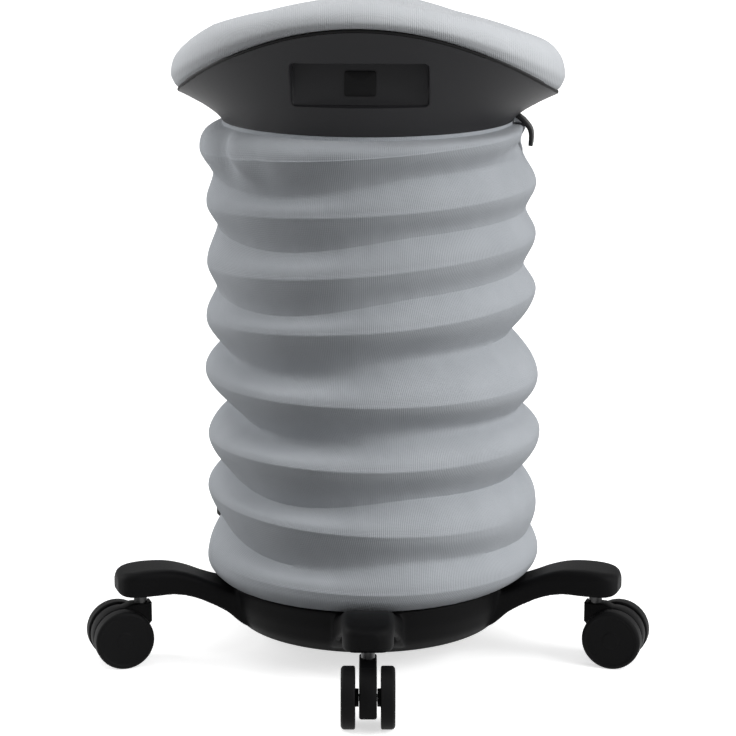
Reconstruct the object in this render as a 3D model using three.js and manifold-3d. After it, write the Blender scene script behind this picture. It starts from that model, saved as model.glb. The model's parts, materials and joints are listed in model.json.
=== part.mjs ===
import * as THREE from 'three';
import { mergeVertices } from 'three/addons/utils/BufferGeometryUtils.js';
import Module from 'manifold-3d';

// A wobble stool: a five-armed castor base, a gas lift inside a ribbed knit sleeve, a sprung gimbal
// and a saddle-shaped seat. Sizes are in millimetres, the floor is z = 0 and +Z is up. The column
// stands on the Z axis while it is built, and the sitter's back is towards -Y.

// Shared clearances and counts
const gap = 0.3;
const overrun = 2;
const mergeDistance = 0.0001;
const seatSegmentCount = 24;
const sleeveSegmentCount = 24;
const columnSegmentCount = 16;
const pinSegmentCount = 10;

// The wobble joint's height sets the heights of the lift, the lever and the seat
const pivotHeight = 466;

// The shell's rim sets the radii of the seat, the sleeve and the base's bowl
const shellRimRadius = 158;
const shellFlare = 36;
const shellFootRadius = shellRimRadius - shellFlare;
const sleeveBulge = 20;
const sleeveRadius = shellFootRadius + sleeveBulge;

// Castors
const armCount = 5;
const armTipRadius = 223;
const armTipOverhang = 20.5;
const castorCircleRadius = armTipRadius - armTipOverhang;
const castorTrail = 18;
const wheelRadius = 25;
const wheelWidth = 11.7;
const wheelPairWidth = 43.5;
const wheelShoulder = 2.2;
const wheelSegmentCount = 16;
const axleRadius = 3;
const axleEndCover = 3.7;
const castorBodyWidth = 14;
const castorBodyFootRadius = 13.5;
const castorBodyHeight = 52;
const castorHoodInset = 0.7;
const castorHoodRadius = wheelRadius - castorHoodInset;
const castorNeckRadius = 8.5;
const stemRadius = 5.5;
const stemDepthInBody = 12;

// Star base
const hubUnderside = 23;
const hubBossRise = 11;
const bowlRimHeight = 64;
const hubTop = bowlRimHeight + hubBossRise;
const hubBossRadius = 35;
const deckDrop = 11;
const deckTop = bowlRimHeight - deckDrop;
const deckThickness = 5;
const bowlFlare = 16;
const bowlFootWall = 4;
const bowlRimInset = 14;
const bowlRimRadius = sleeveRadius - bowlRimInset;
const bowlFootRadius = bowlRimRadius - bowlFlare;
const bowlRimWidth = 6;
const hubRibCount = 10;
const hubRibThickness = 4;
const armRootInset = 8;
const armRootRadius = bowlFootRadius - armRootInset;
const armRootUnderside = 25;
const armTipUnderside = 61;
const armRootDrop = 10;
const armRootTop = bowlRimHeight - armRootDrop;
const armCrestRise = 19;
const armCrest = bowlRimHeight + armCrestRise;
const socketRoof = 7;
const socketDepth = armCrest - armTipUnderside - socketRoof;
const armTipHalfWidth = 21;
const armWall = 5;
const armEdgeRounding = 5;

// Gas lift
const liftTubeRadius = 25;
const liftTubeWall = 2.4;
const liftTubeFootRadius = 23;
const liftTaperLength = 50;
const liftTubeTop = 262;
const liftTubeFloor = 8;
const liftTubeRecess = 4;
const guideBushLength = 57;
const guideBushFlange = 3;
const cylinderRadius = 14;
const cylinderWall = 1.5;
const cylinderFoot = 150;
const cylinderTopDrop = 34;
const cylinderTop = pivotHeight - cylinderTopDrop;
const cylinderTaper = 30;
const cylinderTipRadius = 13;
const cylinderHeadLength = 27;
const glandLength = 12;
const pistonRodRadius = 5;
const pistonRodTop = 309;
const pistonLength = 10;
const rodHeadLength = 3;
const clipThickness = 1.8;
const clipRadius = 10;
const thrustBearingLength = 7;
const thrustBearingRadius = 16;
const damperLength = 8;
const damperRadius = 15;

// Release pin and lever
const releasePinRadius = 4;
const releasePinDepth = 17.5;
const releasePinStroke = 3.2;
const leverAzimuthDegrees = -9;
const leverThickness = 3.5;
const leverWidth = 14;
const leverRise = 19;
const leverHeight = pivotHeight + leverRise;
const fulcrumRadius = 46;
const fulcrumPinRadius = 2.5;
const leverBossRadius = 6;
const fulcrumEarThickness = 3;
const leverContactGap = 0.8;
const leverExitDrop = 5;
const leverExitHeight = pivotHeight - leverExitDrop;
const leverBladeReach = 14;
const leverBladeDrop = 27;

// Wobble joint
const gimbalInnerRadius = 13;
const gimbalOuterRadius = 21;
const gimbalDepth = 12;
const pivotPinRadius = 4;
const earInnerFace = 27;
const earThickness = 6;
const earRadius = 10;
const bracketBossRadius = 22;
const bracketBossLength = 34;
const bracketPlateRadius = 62;
const bracketPlateThickness = 5;
const stopCircleRadius = 52;
const stopTowerRadius = 10;
const stopTowerDrop = 2;
const stopTowerTop = pivotHeight - stopTowerDrop;
const bumpStopRadius = 9;
const bumpStopLength = 20.5;
const stopCount = 4;
const bumpWebWidth = 12;
const bumpWebHeight = 4;

// Seat structure
const panRimInset = 14;
const seatPanRadius = shellRimRadius - panRimInset;
const seatPanFlatRadius = seatPanRadius / 2;
const seatBracketSize = 100;
const seatBracketThickness = 5;
const seatPanRise = 34;
const seatPanUnderside = pivotHeight + seatPanRise;
const seatPanThickness = 5;
const bracketBoltSpacing = 80;
const bracketBoltRadius = 3;
const boltHeadRadius = 5.5;
const boltHeadHeight = 2.7;

// Seat shell
const shellFootDrop = 11;
const shellFootHeight = pivotHeight - shellFootDrop;
const shellWall = 3;
const sideRimRise = 21;
const rearRimRise = 85;
const farRimRise = 60;
const shellFlangeWidth = 24;
const shellFlangeInnerRadius = shellFootRadius - shellFlangeWidth;
const shellFlangeThickness = 3.5;
const shellPostRadius = 6;
const shellPostInset = 16;
const shellPostCircle = shellFootRadius - shellPostInset;
const shellScrewRadius = 2;
const shellScrewHeadRadius = 4.2;
const shellScrewHeadHeight = 2.6;
const shellScrewBite = 4;
const recessWidthAllowance = 14;
const recessWidth = shellFootRadius - recessWidthAllowance;
const recessHeight = 35;
const recessCentreRise = 41.5;
const recessCentreHeight = shellFootHeight + recessCentreRise;
const recessBackInset = 6;
const recessBackRadius = shellFootRadius - recessBackInset;
const labelWidth = 25;
const labelHeight = 20;
const labelThickness = 1;
const leverExitClearance = 1;
const leverExitRadius = shellFootRadius + leverExitClearance;
const leverSlotWidth = 19;
const leverSlotHeight = 15;

// Cushion
const cushionOverhang = 5.5;
const cushionRadius = shellRimRadius + cushionOverhang;
const cushionSeamInset = 1;
const cushionSeamRadius = shellRimRadius - cushionSeamInset;
const cushionTopInset = 9;
const cushionTopRadius = shellRimRadius - cushionTopInset;
const cushionEndThickness = 22;
const cushionSideThickness = 46;
const cushionCrownRise = 53;
const cushionCrownHeight = seatPanUnderside + cushionCrownRise;
const cushionHemInset = 6;
const cushionHemRadius = seatPanRadius - cushionHemInset;
const coverThickness = 2;
const trimHeight = 3;
const trimWidth = 8;

// Sleeve
const foldDepth = 17;
const sleeveWall = 2.6;
const sleeveHemHeight = 3;
const glideRingHeight = 6;
const glideRingWidth = 8;
const topRingHeight = 8;
const topRingWidth = 6;
const leverDentDepth = 9;
const leverDentDegrees = 34;
const ribCount = 8;

// The column and seat stand turned a little on the swivel
const restYawDegrees = -3;

// Finishes
const finish = (color, roughness, metalness) =>
  new THREE.MeshStandardMaterial({ color, roughness, metalness });
const blackNylon = finish(0x141415, 0.5, 0);
const wheelBlack = finish(0x19191a, 0.6, 0);
const steel = finish(0x9a9da0, 0.35, 1);
const blackSteel = finish(0x1b1b1c, 0.45, 0.6);
const greyPlastic = finish(0xb9bcbf, 0.5, 0);
const rubber = finish(0x202020, 0.85, 0);
const shellPlastic = finish(0x3a3a3c, 0.55, 0);
const plywood = finish(0xb08a5c, 0.7, 0);
const foam = finish(0xe6e0c8, 0.95, 0);
const knit = finish(0xa6abb1, 0.9, 0);

// Geometry helpers

/** A closed geometry with shared vertices, no empty faces, and its faces turned outwards. */
function closed(geometry) {
  const bare = geometry.clone();
  bare.deleteAttribute('normal');
  bare.deleteAttribute('uv');
  const merged = mergeVertices(bare, mergeDistance);
  const position = merged.attributes.position;
  const corners = merged.index.array;
  const faces = [];
  let volume = 0;
  const a = new THREE.Vector3();
  const b = new THREE.Vector3();
  const c = new THREE.Vector3();
  for (let i = 0; i < corners.length; i += 3) {
    const [p, q, r] = [corners[i], corners[i + 1], corners[i + 2]];
    if (p === q || q === r || r === p) continue;
    faces.push([p, q, r]);
    a.fromBufferAttribute(position, p);
    b.fromBufferAttribute(position, q);
    c.fromBufferAttribute(position, r);
    volume += a.dot(b.cross(c));
  }
  const index = faces.flatMap(([p, q, r]) => (volume < 0 ? [p, r, q] : [p, q, r]));
  const result = new THREE.BufferGeometry();
  result.setAttribute('position', position.clone());
  result.setIndex(index);
  return result;
}

/** A surface through equal rings of points. Ends close on their middles, or the rings form a loop. */
function skinned(rings, { loop = false } = {}) {
  const count = rings[0].length;
  const points = rings.flat();
  const index = [];
  const band = (low, high) => {
    for (let i = 0; i < count; i++) {
      const j = (i + 1) % count;
      index.push(low + i, low + j, high + j, low + i, high + j, high + i);
    }
  };
  for (let k = 0; k < rings.length - 1; k++) band(k * count, (k + 1) * count);
  if (loop) {
    band((rings.length - 1) * count, 0);
  } else {
    const ends = [rings[0], rings[rings.length - 1]];
    ends.forEach((ring, end) => {
      const middle = new THREE.Vector3();
      ring.forEach((point) => middle.add(point));
      points.push(middle.divideScalar(count));
      const start = end ? (rings.length - 1) * count : 0;
      for (let i = 0; i < count; i++) {
        const j = (i + 1) % count;
        const face = [points.length - 1, start + i, start + j];
        index.push(...(end ? face : face.reverse()));
      }
    });
  }
  const geometry = new THREE.BufferGeometry().setFromPoints(points);
  geometry.setIndex(index);
  return closed(geometry);
}

/** A solid of revolution about Z from [radius, height] pairs. */
function turned(profile, segments = columnSegmentCount) {
  const points = profile.map(([radius, height]) => new THREE.Vector2(radius, height));
  const geometry = new THREE.LatheGeometry(points, segments);
  geometry.rotateX(Math.PI / 2);
  return closed(geometry);
}

/** A plain ring about Z. */
function ring(inner, outer, bottom, top, segments = columnSegmentCount) {
  return turned(
    [[inner, bottom], [outer, bottom], [outer, top], [inner, top], [inner, bottom]], segments);
}

/** A plain round bar along Z. */
function bar(radius, bottom, top, segments = pinSegmentCount) {
  return turned([[0, bottom], [radius, bottom], [radius, top], [0, top]], segments);
}

/** A round bar along X (or Y) from one coordinate to another, at a height. */
function crossBar(radius, from, to, height, alongY = false, segments = pinSegmentCount) {
  const geometry = bar(radius, from, to, segments);
  if (alongY) geometry.rotateX(-Math.PI / 2);
  else geometry.rotateY(Math.PI / 2);
  geometry.translate(0, 0, height);
  return closed(geometry);
}

/** A box from its lowest and highest corners. */
function block([x0, y0, z0], [x1, y1, z1]) {
  const geometry = new THREE.BoxGeometry(x1 - x0, y1 - y0, z1 - z0);
  geometry.translate((x0 + x1) / 2, (y0 + y1) / 2, (z0 + z1) / 2);
  return closed(geometry);
}

/** An outline in X and Z, given a width along Y that is centred on y = 0. */
function slab(shape, width, curveSegments = 8) {
  const geometry = new THREE.ExtrudeGeometry(
    shape, { depth: width, bevelEnabled: false, steps: 1, curveSegments });
  geometry.translate(0, 0, -width / 2);
  geometry.rotateX(Math.PI / 2);
  return closed(geometry);
}

/** The outline of a strip of even thickness along a line of [x, z] points. */
function stripOutline(line, thickness) {
  const points = line.map(([x, z]) => new THREE.Vector2(x, z));
  const sides = points.map((point, i) => {
    const before = points[Math.max(i - 1, 0)];
    const after = points[Math.min(i + 1, points.length - 1)];
    const along = after.clone().sub(before).normalize();
    return new THREE.Vector2(-along.y, along.x).multiplyScalar(thickness / 2);
  });
  const left = points.map((point, i) => point.clone().add(sides[i]));
  const right = points.map((point, i) => point.clone().sub(sides[i])).reverse();
  return new THREE.Shape([...left, ...right]);
}

/** A moved and turned copy. */
function placed(geometry, { x = 0, y = 0, z = 0, turn = 0 }) {
  const copy = geometry.clone();
  copy.rotateZ(turn);
  copy.translate(x, y, z);
  return copy;
}

const wasm = await Module();
wasm.setup();

function solidOf(geometry) {
  return new wasm.Manifold(new wasm.Mesh({
    numProp: 3,
    vertProperties: new Float32Array(geometry.attributes.position.array),
    triVerts: new Uint32Array(geometry.index.array),
  }));
}

function geometryOf(solid) {
  const mesh = solid.getMesh();
  const geometry = new THREE.BufferGeometry();
  geometry.setAttribute('position', new THREE.BufferAttribute(mesh.vertProperties, 3));
  geometry.setIndex(new THREE.BufferAttribute(mesh.triVerts, 1));
  return closed(geometry);
}

const joined = (...parts) => geometryOf(parts.map(solidOf).reduce((sum, part) => sum.add(part)));
const cut = (body, ...tools) =>
  geometryOf(tools.map(solidOf).reduce((rest, tool) => rest.subtract(tool), solidOf(body)));
const common = (a, b) => geometryOf(solidOf(a).intersect(solidOf(b)));

function piece(name, geometry, material) {
  const mesh = new THREE.Mesh(geometry, material);
  mesh.geometry.computeVertexNormals();
  mesh.name = name;
  return mesh;
}

const degrees = (value) => (value * Math.PI) / 180;
const mix = (a, b, share) => a + (b - a) * share;
const around = (count) => Array.from({ length: count }, (_, i) => (2 * Math.PI * i) / count);
const polar = (radius, angle, height) =>
  new THREE.Vector3(radius * Math.cos(angle), radius * Math.sin(angle), height);
const aroundColumn = (count, radius, start) =>
  around(count).map((angle) => ({
    x: radius * Math.cos(angle + start), y: radius * Math.sin(angle + start) }));

// Castors: each is built along +X, its trail, with its stem on its own Z axis

const wheelBossRadius = 7.2;
const footArcStartDegrees = 200;
const footArcEndDegrees = 290;
const hoodArcStartDegrees = -24;
const hoodArcEndDegrees = 96;
const hoodSegmentCount = 10;
const footSegmentCount = 6;

function wheelGeometry() {
  const outer = wheelPairWidth / 2;
  const inner = outer - wheelWidth;
  const corner = wheelRadius / Math.cos(Math.PI / wheelSegmentCount);
  const bore = axleRadius + gap;
  const boreEnd = outer - axleEndCover;
  const bossEnd = castorBodyWidth / 2 + gap;
  const wheel = turned([
    [0, outer],
    [corner - 2 * wheelShoulder, outer - wheelShoulder / 3],
    [corner, outer - 2 * wheelShoulder],
    [corner, inner + wheelShoulder],
    [corner - wheelShoulder, inner],
    [wheelBossRadius, inner],
    [wheelBossRadius, bossEnd],
    [bore, bossEnd],
    [bore, boreEnd],
    [0, boreEnd],
  ], wheelSegmentCount);
  wheel.rotateZ(Math.PI / wheelSegmentCount);
  wheel.rotateX(-Math.PI / 2);
  wheel.translate(castorTrail, 0, wheelRadius);
  return wheel;
}

function castorBodyGeometry() {
  const neckFoot = castorBodyHeight - stemDepthInBody - castorNeckRadius / 2;
  const arc = (radius, from, to, count) =>
    Array.from({ length: count + 1 }, (_, i) => {
      const angle = degrees(mix(from, to, i / count));
      return new THREE.Vector2(
        castorTrail + radius * Math.cos(angle), wheelRadius + radius * Math.sin(angle));
    });
  const shape = new THREE.Shape([
    new THREE.Vector2(castorNeckRadius, castorBodyHeight),
    new THREE.Vector2(-castorNeckRadius, castorBodyHeight),
    new THREE.Vector2(-castorNeckRadius, neckFoot),
    ...arc(castorBodyFootRadius, footArcStartDegrees, footArcEndDegrees, footSegmentCount),
    ...arc(castorHoodRadius, hoodArcStartDegrees, hoodArcEndDegrees, hoodSegmentCount),
  ]);
  const axleHole = crossBar(
    axleRadius + gap, -castorBodyWidth, castorBodyWidth, wheelRadius, true);
  axleHole.translate(castorTrail, 0, 0);
  const stemHole = bar(
    stemRadius + gap, castorBodyHeight - stemDepthInBody, castorBodyHeight + overrun);
  return cut(slab(shape, castorBodyWidth), axleHole, stemHole);
}

function castor(number, angle, trailAngle) {
  const group = new THREE.Group();
  group.position.copy(polar(castorCircleRadius, angle, 0));
  group.rotation.z = trailAngle;
  const stemFoot = castorBodyHeight - stemDepthInBody + gap;
  const axleHalf = wheelPairWidth / 2 - axleEndCover - gap;
  const axle = crossBar(axleRadius, -axleHalf, axleHalf, wheelRadius, true);
  axle.translate(castorTrail, 0, 0);
  const leftWheel = wheelGeometry();
  const rightWheel = leftWheel.clone().scale(1, -1, 1);
  group.add(
    piece(`castor_${number}_stem`,
      bar(stemRadius, stemFoot, armTipUnderside + socketDepth - gap), steel),
    piece(`castor_${number}_body`, castorBodyGeometry(), blackNylon),
    piece(`castor_${number}_axle`, axle, steel),
    piece(`castor_${number}_wheel_left`, leftWheel, wheelBlack),
    piece(`castor_${number}_wheel_right`, closed(rightWheel), wheelBlack),
  );
  return group;
}

// Arms at equal angles, one towards -Y. The front and side castors trail outwards and the two
// behind trail straight back.
const armAngles = around(armCount).map((angle) => angle - Math.PI / 2);
const trailAngles = armAngles.map((angle) => (Math.sin(angle) > 0 ? Math.PI / 2 : angle));

// Star base

/** The lift's taper in the hub: its radius at a height. */
function taperRadius(height) {
  const foot = hubUnderside + liftTubeRecess;
  const share = Math.min((height - foot) / liftTaperLength, 1);
  return mix(liftTubeFootRadius, liftTubeRadius, share);
}

const bowlWallShares = [[0, 0], [0.56, 0.25], [0.88, 0.6], [1, 1]];

function hubGeometry() {
  const deckFoot = deckTop - deckThickness;
  const bowlInner = bowlFootRadius - bowlFootWall;
  const wall = bowlWallShares.map(([out, up]) => [
    mix(bowlFootRadius, bowlRimRadius, out), mix(hubUnderside, bowlRimHeight, up)]);
  const shell = turned([
    [taperRadius(hubUnderside) + gap, hubUnderside],
    [hubBossRadius, hubUnderside],
    [hubBossRadius, deckFoot],
    [bowlInner, deckFoot],
    [bowlInner, hubUnderside],
    ...wall,
    [bowlRimRadius - bowlRimWidth, bowlRimHeight],
    [bowlFootRadius, deckTop],
    [hubBossRadius + deckThickness, deckTop],
    [hubBossRadius, hubTop],
    [taperRadius(hubTop) + gap, hubTop],
    [taperRadius(hubUnderside) + gap, hubUnderside],
  ], 2 * columnSegmentCount);
  const inside = hubBossRadius - overrun;
  const rib = block(
    [inside, -hubRibThickness / 2, hubUnderside + hubRibThickness / 2],
    [bowlInner + overrun, hubRibThickness / 2, deckFoot + overrun]);
  const start = Math.PI / hubRibCount - Math.PI / 2;
  return [shell, ...around(hubRibCount).map((angle) => placed(rib, { turn: angle + start }))];
}

// One row for each section of an arm: how far along it is, its underside and top as shares of
// their rise, and its half width as a share of the tip's
const armSectionShares = [
  [0, 0, 0, 1.52],
  [0.126, 0.167, 0.2, 1.43],
  [0.244, 0.5, 0.362, 1.26],
  [0.353, 0.708, 0.55, 1.14],
  [0.471, 0.89, 0.776, 1.06],
  [0.61, 1, 0.948, 1.01],
  [0.773, 1, 1, 1],
  [0.9, 1, 0.966, 0.95],
  [0.966, 1.01, 0.9, 0.74],
  [1, 1.07, 0.8, 0.4],
];
const pocketSectionShares = [0.17, 0.353, 0.61, 0.71];

function armSection([along, under, top, width]) {
  const x = mix(armRootRadius, armTipRadius, along);
  const foot = mix(armRootUnderside, armTipUnderside, under);
  const crown = mix(armRootTop, armCrest, top);
  const half = armTipHalfWidth * width;
  const round = Math.min(armEdgeRounding, half / 2);
  const outline = [
    [half - round / 3, foot], [half, foot + round / 2], [half, crown - round],
    [half - round / 3, crown - round / 3], [half - round, crown], [-half + round, crown],
    [-half + round / 3, crown - round / 3], [-half, crown - round], [-half, foot + round / 2],
    [-half + round / 3, foot]];
  return outline.map(([y, z]) => new THREE.Vector3(x, y, z));
}

/** The arm's shares at any distance along it. */
function armSharesAt(along) {
  const next = armSectionShares.findIndex(([share]) => share > along);
  const [low, high] = [armSectionShares[next - 1], armSectionShares[next]];
  const part = (along - low[0]) / (high[0] - low[0]);
  return low.map((value, i) => mix(value, high[i], part));
}

function armPocketSection(share) {
  const [along, , top, width] = armSharesAt(share);
  const x = mix(armRootRadius, armTipRadius, along);
  const half = armTipHalfWidth * width - armWall;
  const roof = mix(armRootTop, armCrest, top) - armWall;
  return [[half, 0], [half, roof], [-half, roof], [-half, 0]]
    .map(([y, z]) => new THREE.Vector3(x, y, z));
}

function starBaseGeometry() {
  const arm = skinned(armSectionShares.map(armSection));
  const pocket = skinned(pocketSectionShares.map(armPocketSection));
  const socket = bar(
    stemRadius + gap, armTipUnderside - overrun, armTipUnderside + socketDepth);
  socket.translate(castorCircleRadius, 0, 0);
  const spread = (geometry) => armAngles.map((turn) => placed(geometry, { turn }));
  const solid = joined(...hubGeometry(), ...spread(arm));
  return cut(solid, ...spread(pocket), ...spread(socket));
}

// Gas lift

const liftFoot = hubUnderside + liftTubeRecess;
const liftFloorTop = liftFoot + liftTubeFloor;
const bearingFoot = liftFloorTop + gap;
const damperFoot = bearingFoot + thrustBearingLength + gap;

function liftTubeGeometry() {
  const bore = liftTubeRadius - liftTubeWall;
  const footBore = taperRadius(liftFloorTop) - liftTubeWall;
  return turned([
    [pistonRodRadius + gap, liftFoot],
    [liftTubeFootRadius, liftFoot],
    [liftTubeRadius, liftFoot + liftTaperLength],
    [liftTubeRadius, liftTubeTop],
    [bore, liftTubeTop],
    [bore, liftFoot + liftTaperLength],
    [footBore, liftFloorTop],
    [pistonRodRadius + gap, liftFloorTop],
    [pistonRodRadius + gap, liftFoot],
  ]);
}

function guideBushGeometry() {
  const outer = liftTubeRadius - liftTubeWall - gap;
  const inner = cylinderRadius + gap;
  const seat = liftTubeTop + gap;
  return turned([
    [inner, liftTubeTop - guideBushLength],
    [outer, liftTubeTop - guideBushLength],
    [outer, seat],
    [liftTubeRadius - gap, seat],
    [liftTubeRadius - gap, seat + guideBushFlange],
    [inner, seat + guideBushFlange],
    [inner, liftTubeTop - guideBushLength],
  ]);
}

function cylinderGeometry() {
  const bore = cylinderRadius - cylinderWall;
  const valveBore = releasePinRadius + gap;
  const valveFoot = cylinderTop - releasePinDepth - releasePinStroke - gap;
  const headFoot = cylinderTop - cylinderHeadLength;
  return turned([
    [0, headFoot],
    [bore, headFoot],
    [bore, cylinderFoot],
    [cylinderRadius, cylinderFoot],
    [cylinderRadius, cylinderTop - cylinderTaper],
    [cylinderTipRadius, cylinderTop],
    [valveBore, cylinderTop],
    [valveBore, valveFoot],
    [0, valveFoot],
  ]);
}

function pistonRodGeometry() {
  const headRadius = (pistonRodRadius + cylinderRadius) / 2;
  const headFoot = pistonRodTop - rodHeadLength;
  const rodFoot = liftFoot - gap - clipThickness - gap;
  return turned([
    [0, rodFoot],
    [pistonRodRadius, rodFoot],
    [pistonRodRadius, headFoot],
    [headRadius, headFoot],
    [headRadius, pistonRodTop],
    [0, pistonRodTop],
  ]);
}

const pistonTop = pistonRodTop - rodHeadLength - gap;
const cylinderBore = cylinderRadius - cylinderWall - gap;
const rodBore = pistonRodRadius + gap;

// Lift bracket and gimbal

const bracketPlateTop = cylinderTop + gap + bracketPlateThickness + overrun;
const bracketPlateFoot = bracketPlateTop - bracketPlateThickness;
const seatBracketTop = seatPanUnderside - gap;
const seatBracketFoot = seatBracketTop - seatBracketThickness;

/** Two ears on the X axis, up from a plate or down to the pivot, with their bush holes cut. */
function earsGeometry(plateFace) {
  const shape = new THREE.Shape();
  const rises = plateFace < pivotHeight;
  const sunk = plateFace + (rises ? -overrun : overrun);
  shape.moveTo(earRadius, sunk);
  shape.lineTo(earRadius, pivotHeight);
  shape.absarc(0, pivotHeight, earRadius, 0, Math.PI, !rises);
  shape.lineTo(-earRadius, sunk);
  shape.closePath();
  const ear = slab(shape, earThickness);
  ear.rotateZ(Math.PI / 2);
  const middle = earInnerFace + earThickness / 2;
  return [placed(ear, { x: middle }), placed(ear, { x: -middle })];
}

const earHole = () => crossBar(
  pivotPinRadius + gap, -earInnerFace - 2 * earThickness, earInnerFace + 2 * earThickness,
  pivotHeight);

function liftBracketGeometry() {
  const bossFoot = bracketPlateTop - bracketBossLength;
  const tip = cylinderTipRadius + gap;
  const plateHole = releasePinRadius + gap + overrun;
  const body = turned([
    [plateHole, bracketPlateTop],
    [bracketPlateRadius, bracketPlateTop],
    [bracketPlateRadius, bracketPlateFoot],
    [bracketBossRadius, bracketPlateFoot],
    [bracketBossRadius, bossFoot],
    [cylinderRadius + gap, bossFoot],
    [cylinderRadius + gap, cylinderTop - cylinderTaper],
    [tip, cylinderTop + gap],
    [plateHole, cylinderTop + gap],
    [plateHole, bracketPlateTop],
  ]);
  const tower = bar(stopTowerRadius, bracketPlateTop - overrun, stopTowerTop);
  const towers = aroundColumn(stopCount, stopCircleRadius, Math.PI / stopCount)
    .map((place) => placed(tower, place));
  return cut(joined(body, ...earsGeometry(bracketPlateTop), ...towers), earHole());
}

/** One rubber moulding: a ring that lies on the towers, with a stop standing over each. */
function bumpRingGeometry() {
  const foot = stopTowerTop + gap;
  const stop = turned([
    [0, foot], [bumpStopRadius, foot], [bumpStopRadius, foot + bumpStopLength * 0.7],
    [bumpStopRadius * 0.7, foot + bumpStopLength], [0, foot + bumpStopLength]], pinSegmentCount);
  const web = ring(
    stopCircleRadius - bumpWebWidth / 2, stopCircleRadius + bumpWebWidth / 2, foot,
    foot + bumpWebHeight);
  return joined(web, ...aroundColumn(stopCount, stopCircleRadius, Math.PI / stopCount)
    .map((place) => placed(stop, place)));
}

/** A ring around the release pin with four pins, two for each tilt. */
function gimbalGeometry() {
  const body = ring(
    gimbalInnerRadius, gimbalOuterRadius, pivotHeight - gimbalDepth / 2,
    pivotHeight + gimbalDepth / 2);
  const pin = crossBar(
    pivotPinRadius, gimbalOuterRadius - overrun, earInnerFace + earThickness + overrun,
    pivotHeight);
  return joined(body, ...around(4).map((turn) => placed(pin, { turn })));
}

// Release pin and lever. The lever is built along +X and turned to its azimuth.

const releasePinTop = pivotHeight + leverThickness;
const leverTurn = degrees(leverAzimuthDegrees - restYawDegrees);

function leverGeometry() {
  const exit = [leverExitRadius, leverExitHeight];
  const line = [
    [0, releasePinTop + leverContactGap],
    [0, leverHeight - leverThickness / 2],
    [leverThickness / 2, leverHeight],
    [fulcrumRadius + leverBossRadius, leverHeight],
    [exit[0] - leverThickness, exit[1] + leverThickness / 2],
    exit,
    [exit[0] + leverBladeReach * 0.5, exit[1] - leverBladeDrop * 0.2],
    [exit[0] + leverBladeReach * 0.9, exit[1] - leverBladeDrop * 0.45],
    [exit[0] + leverBladeReach, exit[1] - leverBladeDrop * 0.7],
    [exit[0] + leverBladeReach * 0.95, exit[1] - leverBladeDrop],
  ];
  const strip = slab(stripOutline(line, leverThickness), leverWidth);
  const boss = crossBar(leverBossRadius, -leverWidth / 2, leverWidth / 2, leverHeight, true);
  const hole = crossBar(fulcrumPinRadius + gap, -leverWidth, leverWidth, leverHeight, true);
  boss.translate(fulcrumRadius, 0, 0);
  hole.translate(fulcrumRadius, 0, 0);
  return placed(cut(joined(strip, boss), hole), { turn: leverTurn });
}

const fulcrumEarFace = leverWidth / 2 + gap;

function fulcrumPinGeometry() {
  const half = fulcrumEarFace + fulcrumEarThickness;
  const pin = crossBar(fulcrumPinRadius, -half, half, leverHeight, true);
  pin.translate(fulcrumRadius, 0, 0);
  return placed(pin, { turn: leverTurn });
}

function seatBracketGeometry() {
  const half = seatBracketSize / 2;
  const plate = block([-half, -half, seatBracketFoot], [half, half, seatBracketTop]);
  const ears = joined(...earsGeometry(seatBracketFoot));
  const earHalf = leverBossRadius;
  const earOuter = fulcrumEarFace + fulcrumEarThickness;
  const foot = leverHeight - leverBossRadius;
  const fulcrumEars = [1, -1].map((side) => {
    const faces = [side * fulcrumEarFace, side * earOuter].sort((a, b) => a - b);
    return placed(block(
      [fulcrumRadius - earHalf, faces[0], foot],
      [fulcrumRadius + earHalf, faces[1], seatBracketFoot + overrun]), { turn: leverTurn });
  });
  const pinHole = crossBar(fulcrumPinRadius + gap, -earOuter * 2, earOuter * 2, leverHeight, true);
  pinHole.translate(fulcrumRadius, 0, 0);
  return cut(
    joined(plate, placed(ears, { turn: Math.PI / 2 }), ...fulcrumEars),
    placed(earHole(), { turn: Math.PI / 2 }),
    placed(pinHole, { turn: leverTurn }),
    ...boltPlaces.map((place) => placed(boltGeometry(gap, overrun), place)),
  );
}

/** One flush bolt, up through the bracket into the pan; with a margin it is its own hole. */
function boltGeometry(margin, past) {
  const head = seatBracketFoot + boltHeadHeight;
  return turned([
    [0, seatBracketFoot - past],
    [boltHeadRadius + margin, seatBracketFoot - past],
    [boltHeadRadius + margin, seatBracketFoot],
    [bracketBoltRadius + margin, head],
    [bracketBoltRadius + margin, seatPanUnderside + seatPanThickness - gap + past],
    [0, seatPanUnderside + seatPanThickness - gap + past],
  ], pinSegmentCount);
}

const boltPlaces = [[1, 1], [-1, 1], [-1, -1], [1, -1]].map(([x, y]) => ({
  x: (x * bracketBoltSpacing) / 2, y: (y * bracketBoltSpacing) / 2 }));

// Seat structure

/** Height of the shell's rim at an angle from +X: low at the sides, highest behind the sitter. */
function rimHeight(angle) {
  const side = shellFootHeight + sideRimRise;
  const across = (rearRimRise + farRimRise) / 2 - sideRimRise;
  const lean = (rearRimRise - farRimRise) / 2;
  return side + across * Math.sin(angle) ** 2 - lean * Math.sin(angle);
}

const panBend = 1.2;
const panEdgeRise = 2.5;

/** Top of the pan: flat in the middle, and following the rim at its edge. */
function panTop(radius, angle) {
  const flat = seatPanUnderside + seatPanThickness;
  const share = Math.max(radius - seatPanFlatRadius, 0) / (seatPanRadius - seatPanFlatRadius);
  return mix(flat, rimHeight(angle) + panEdgeRise, Math.min(share, 1) ** panBend);
}

const seatAngles = around(seatSegmentCount);

/** A ring of points on the seat's angles, from a function that gives [radius, height]. */
const seatRing = (at) =>
  seatAngles.map((angle) => {
    const [radius, height] = at(angle);
    return polar(radius, angle, height);
  });

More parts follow.
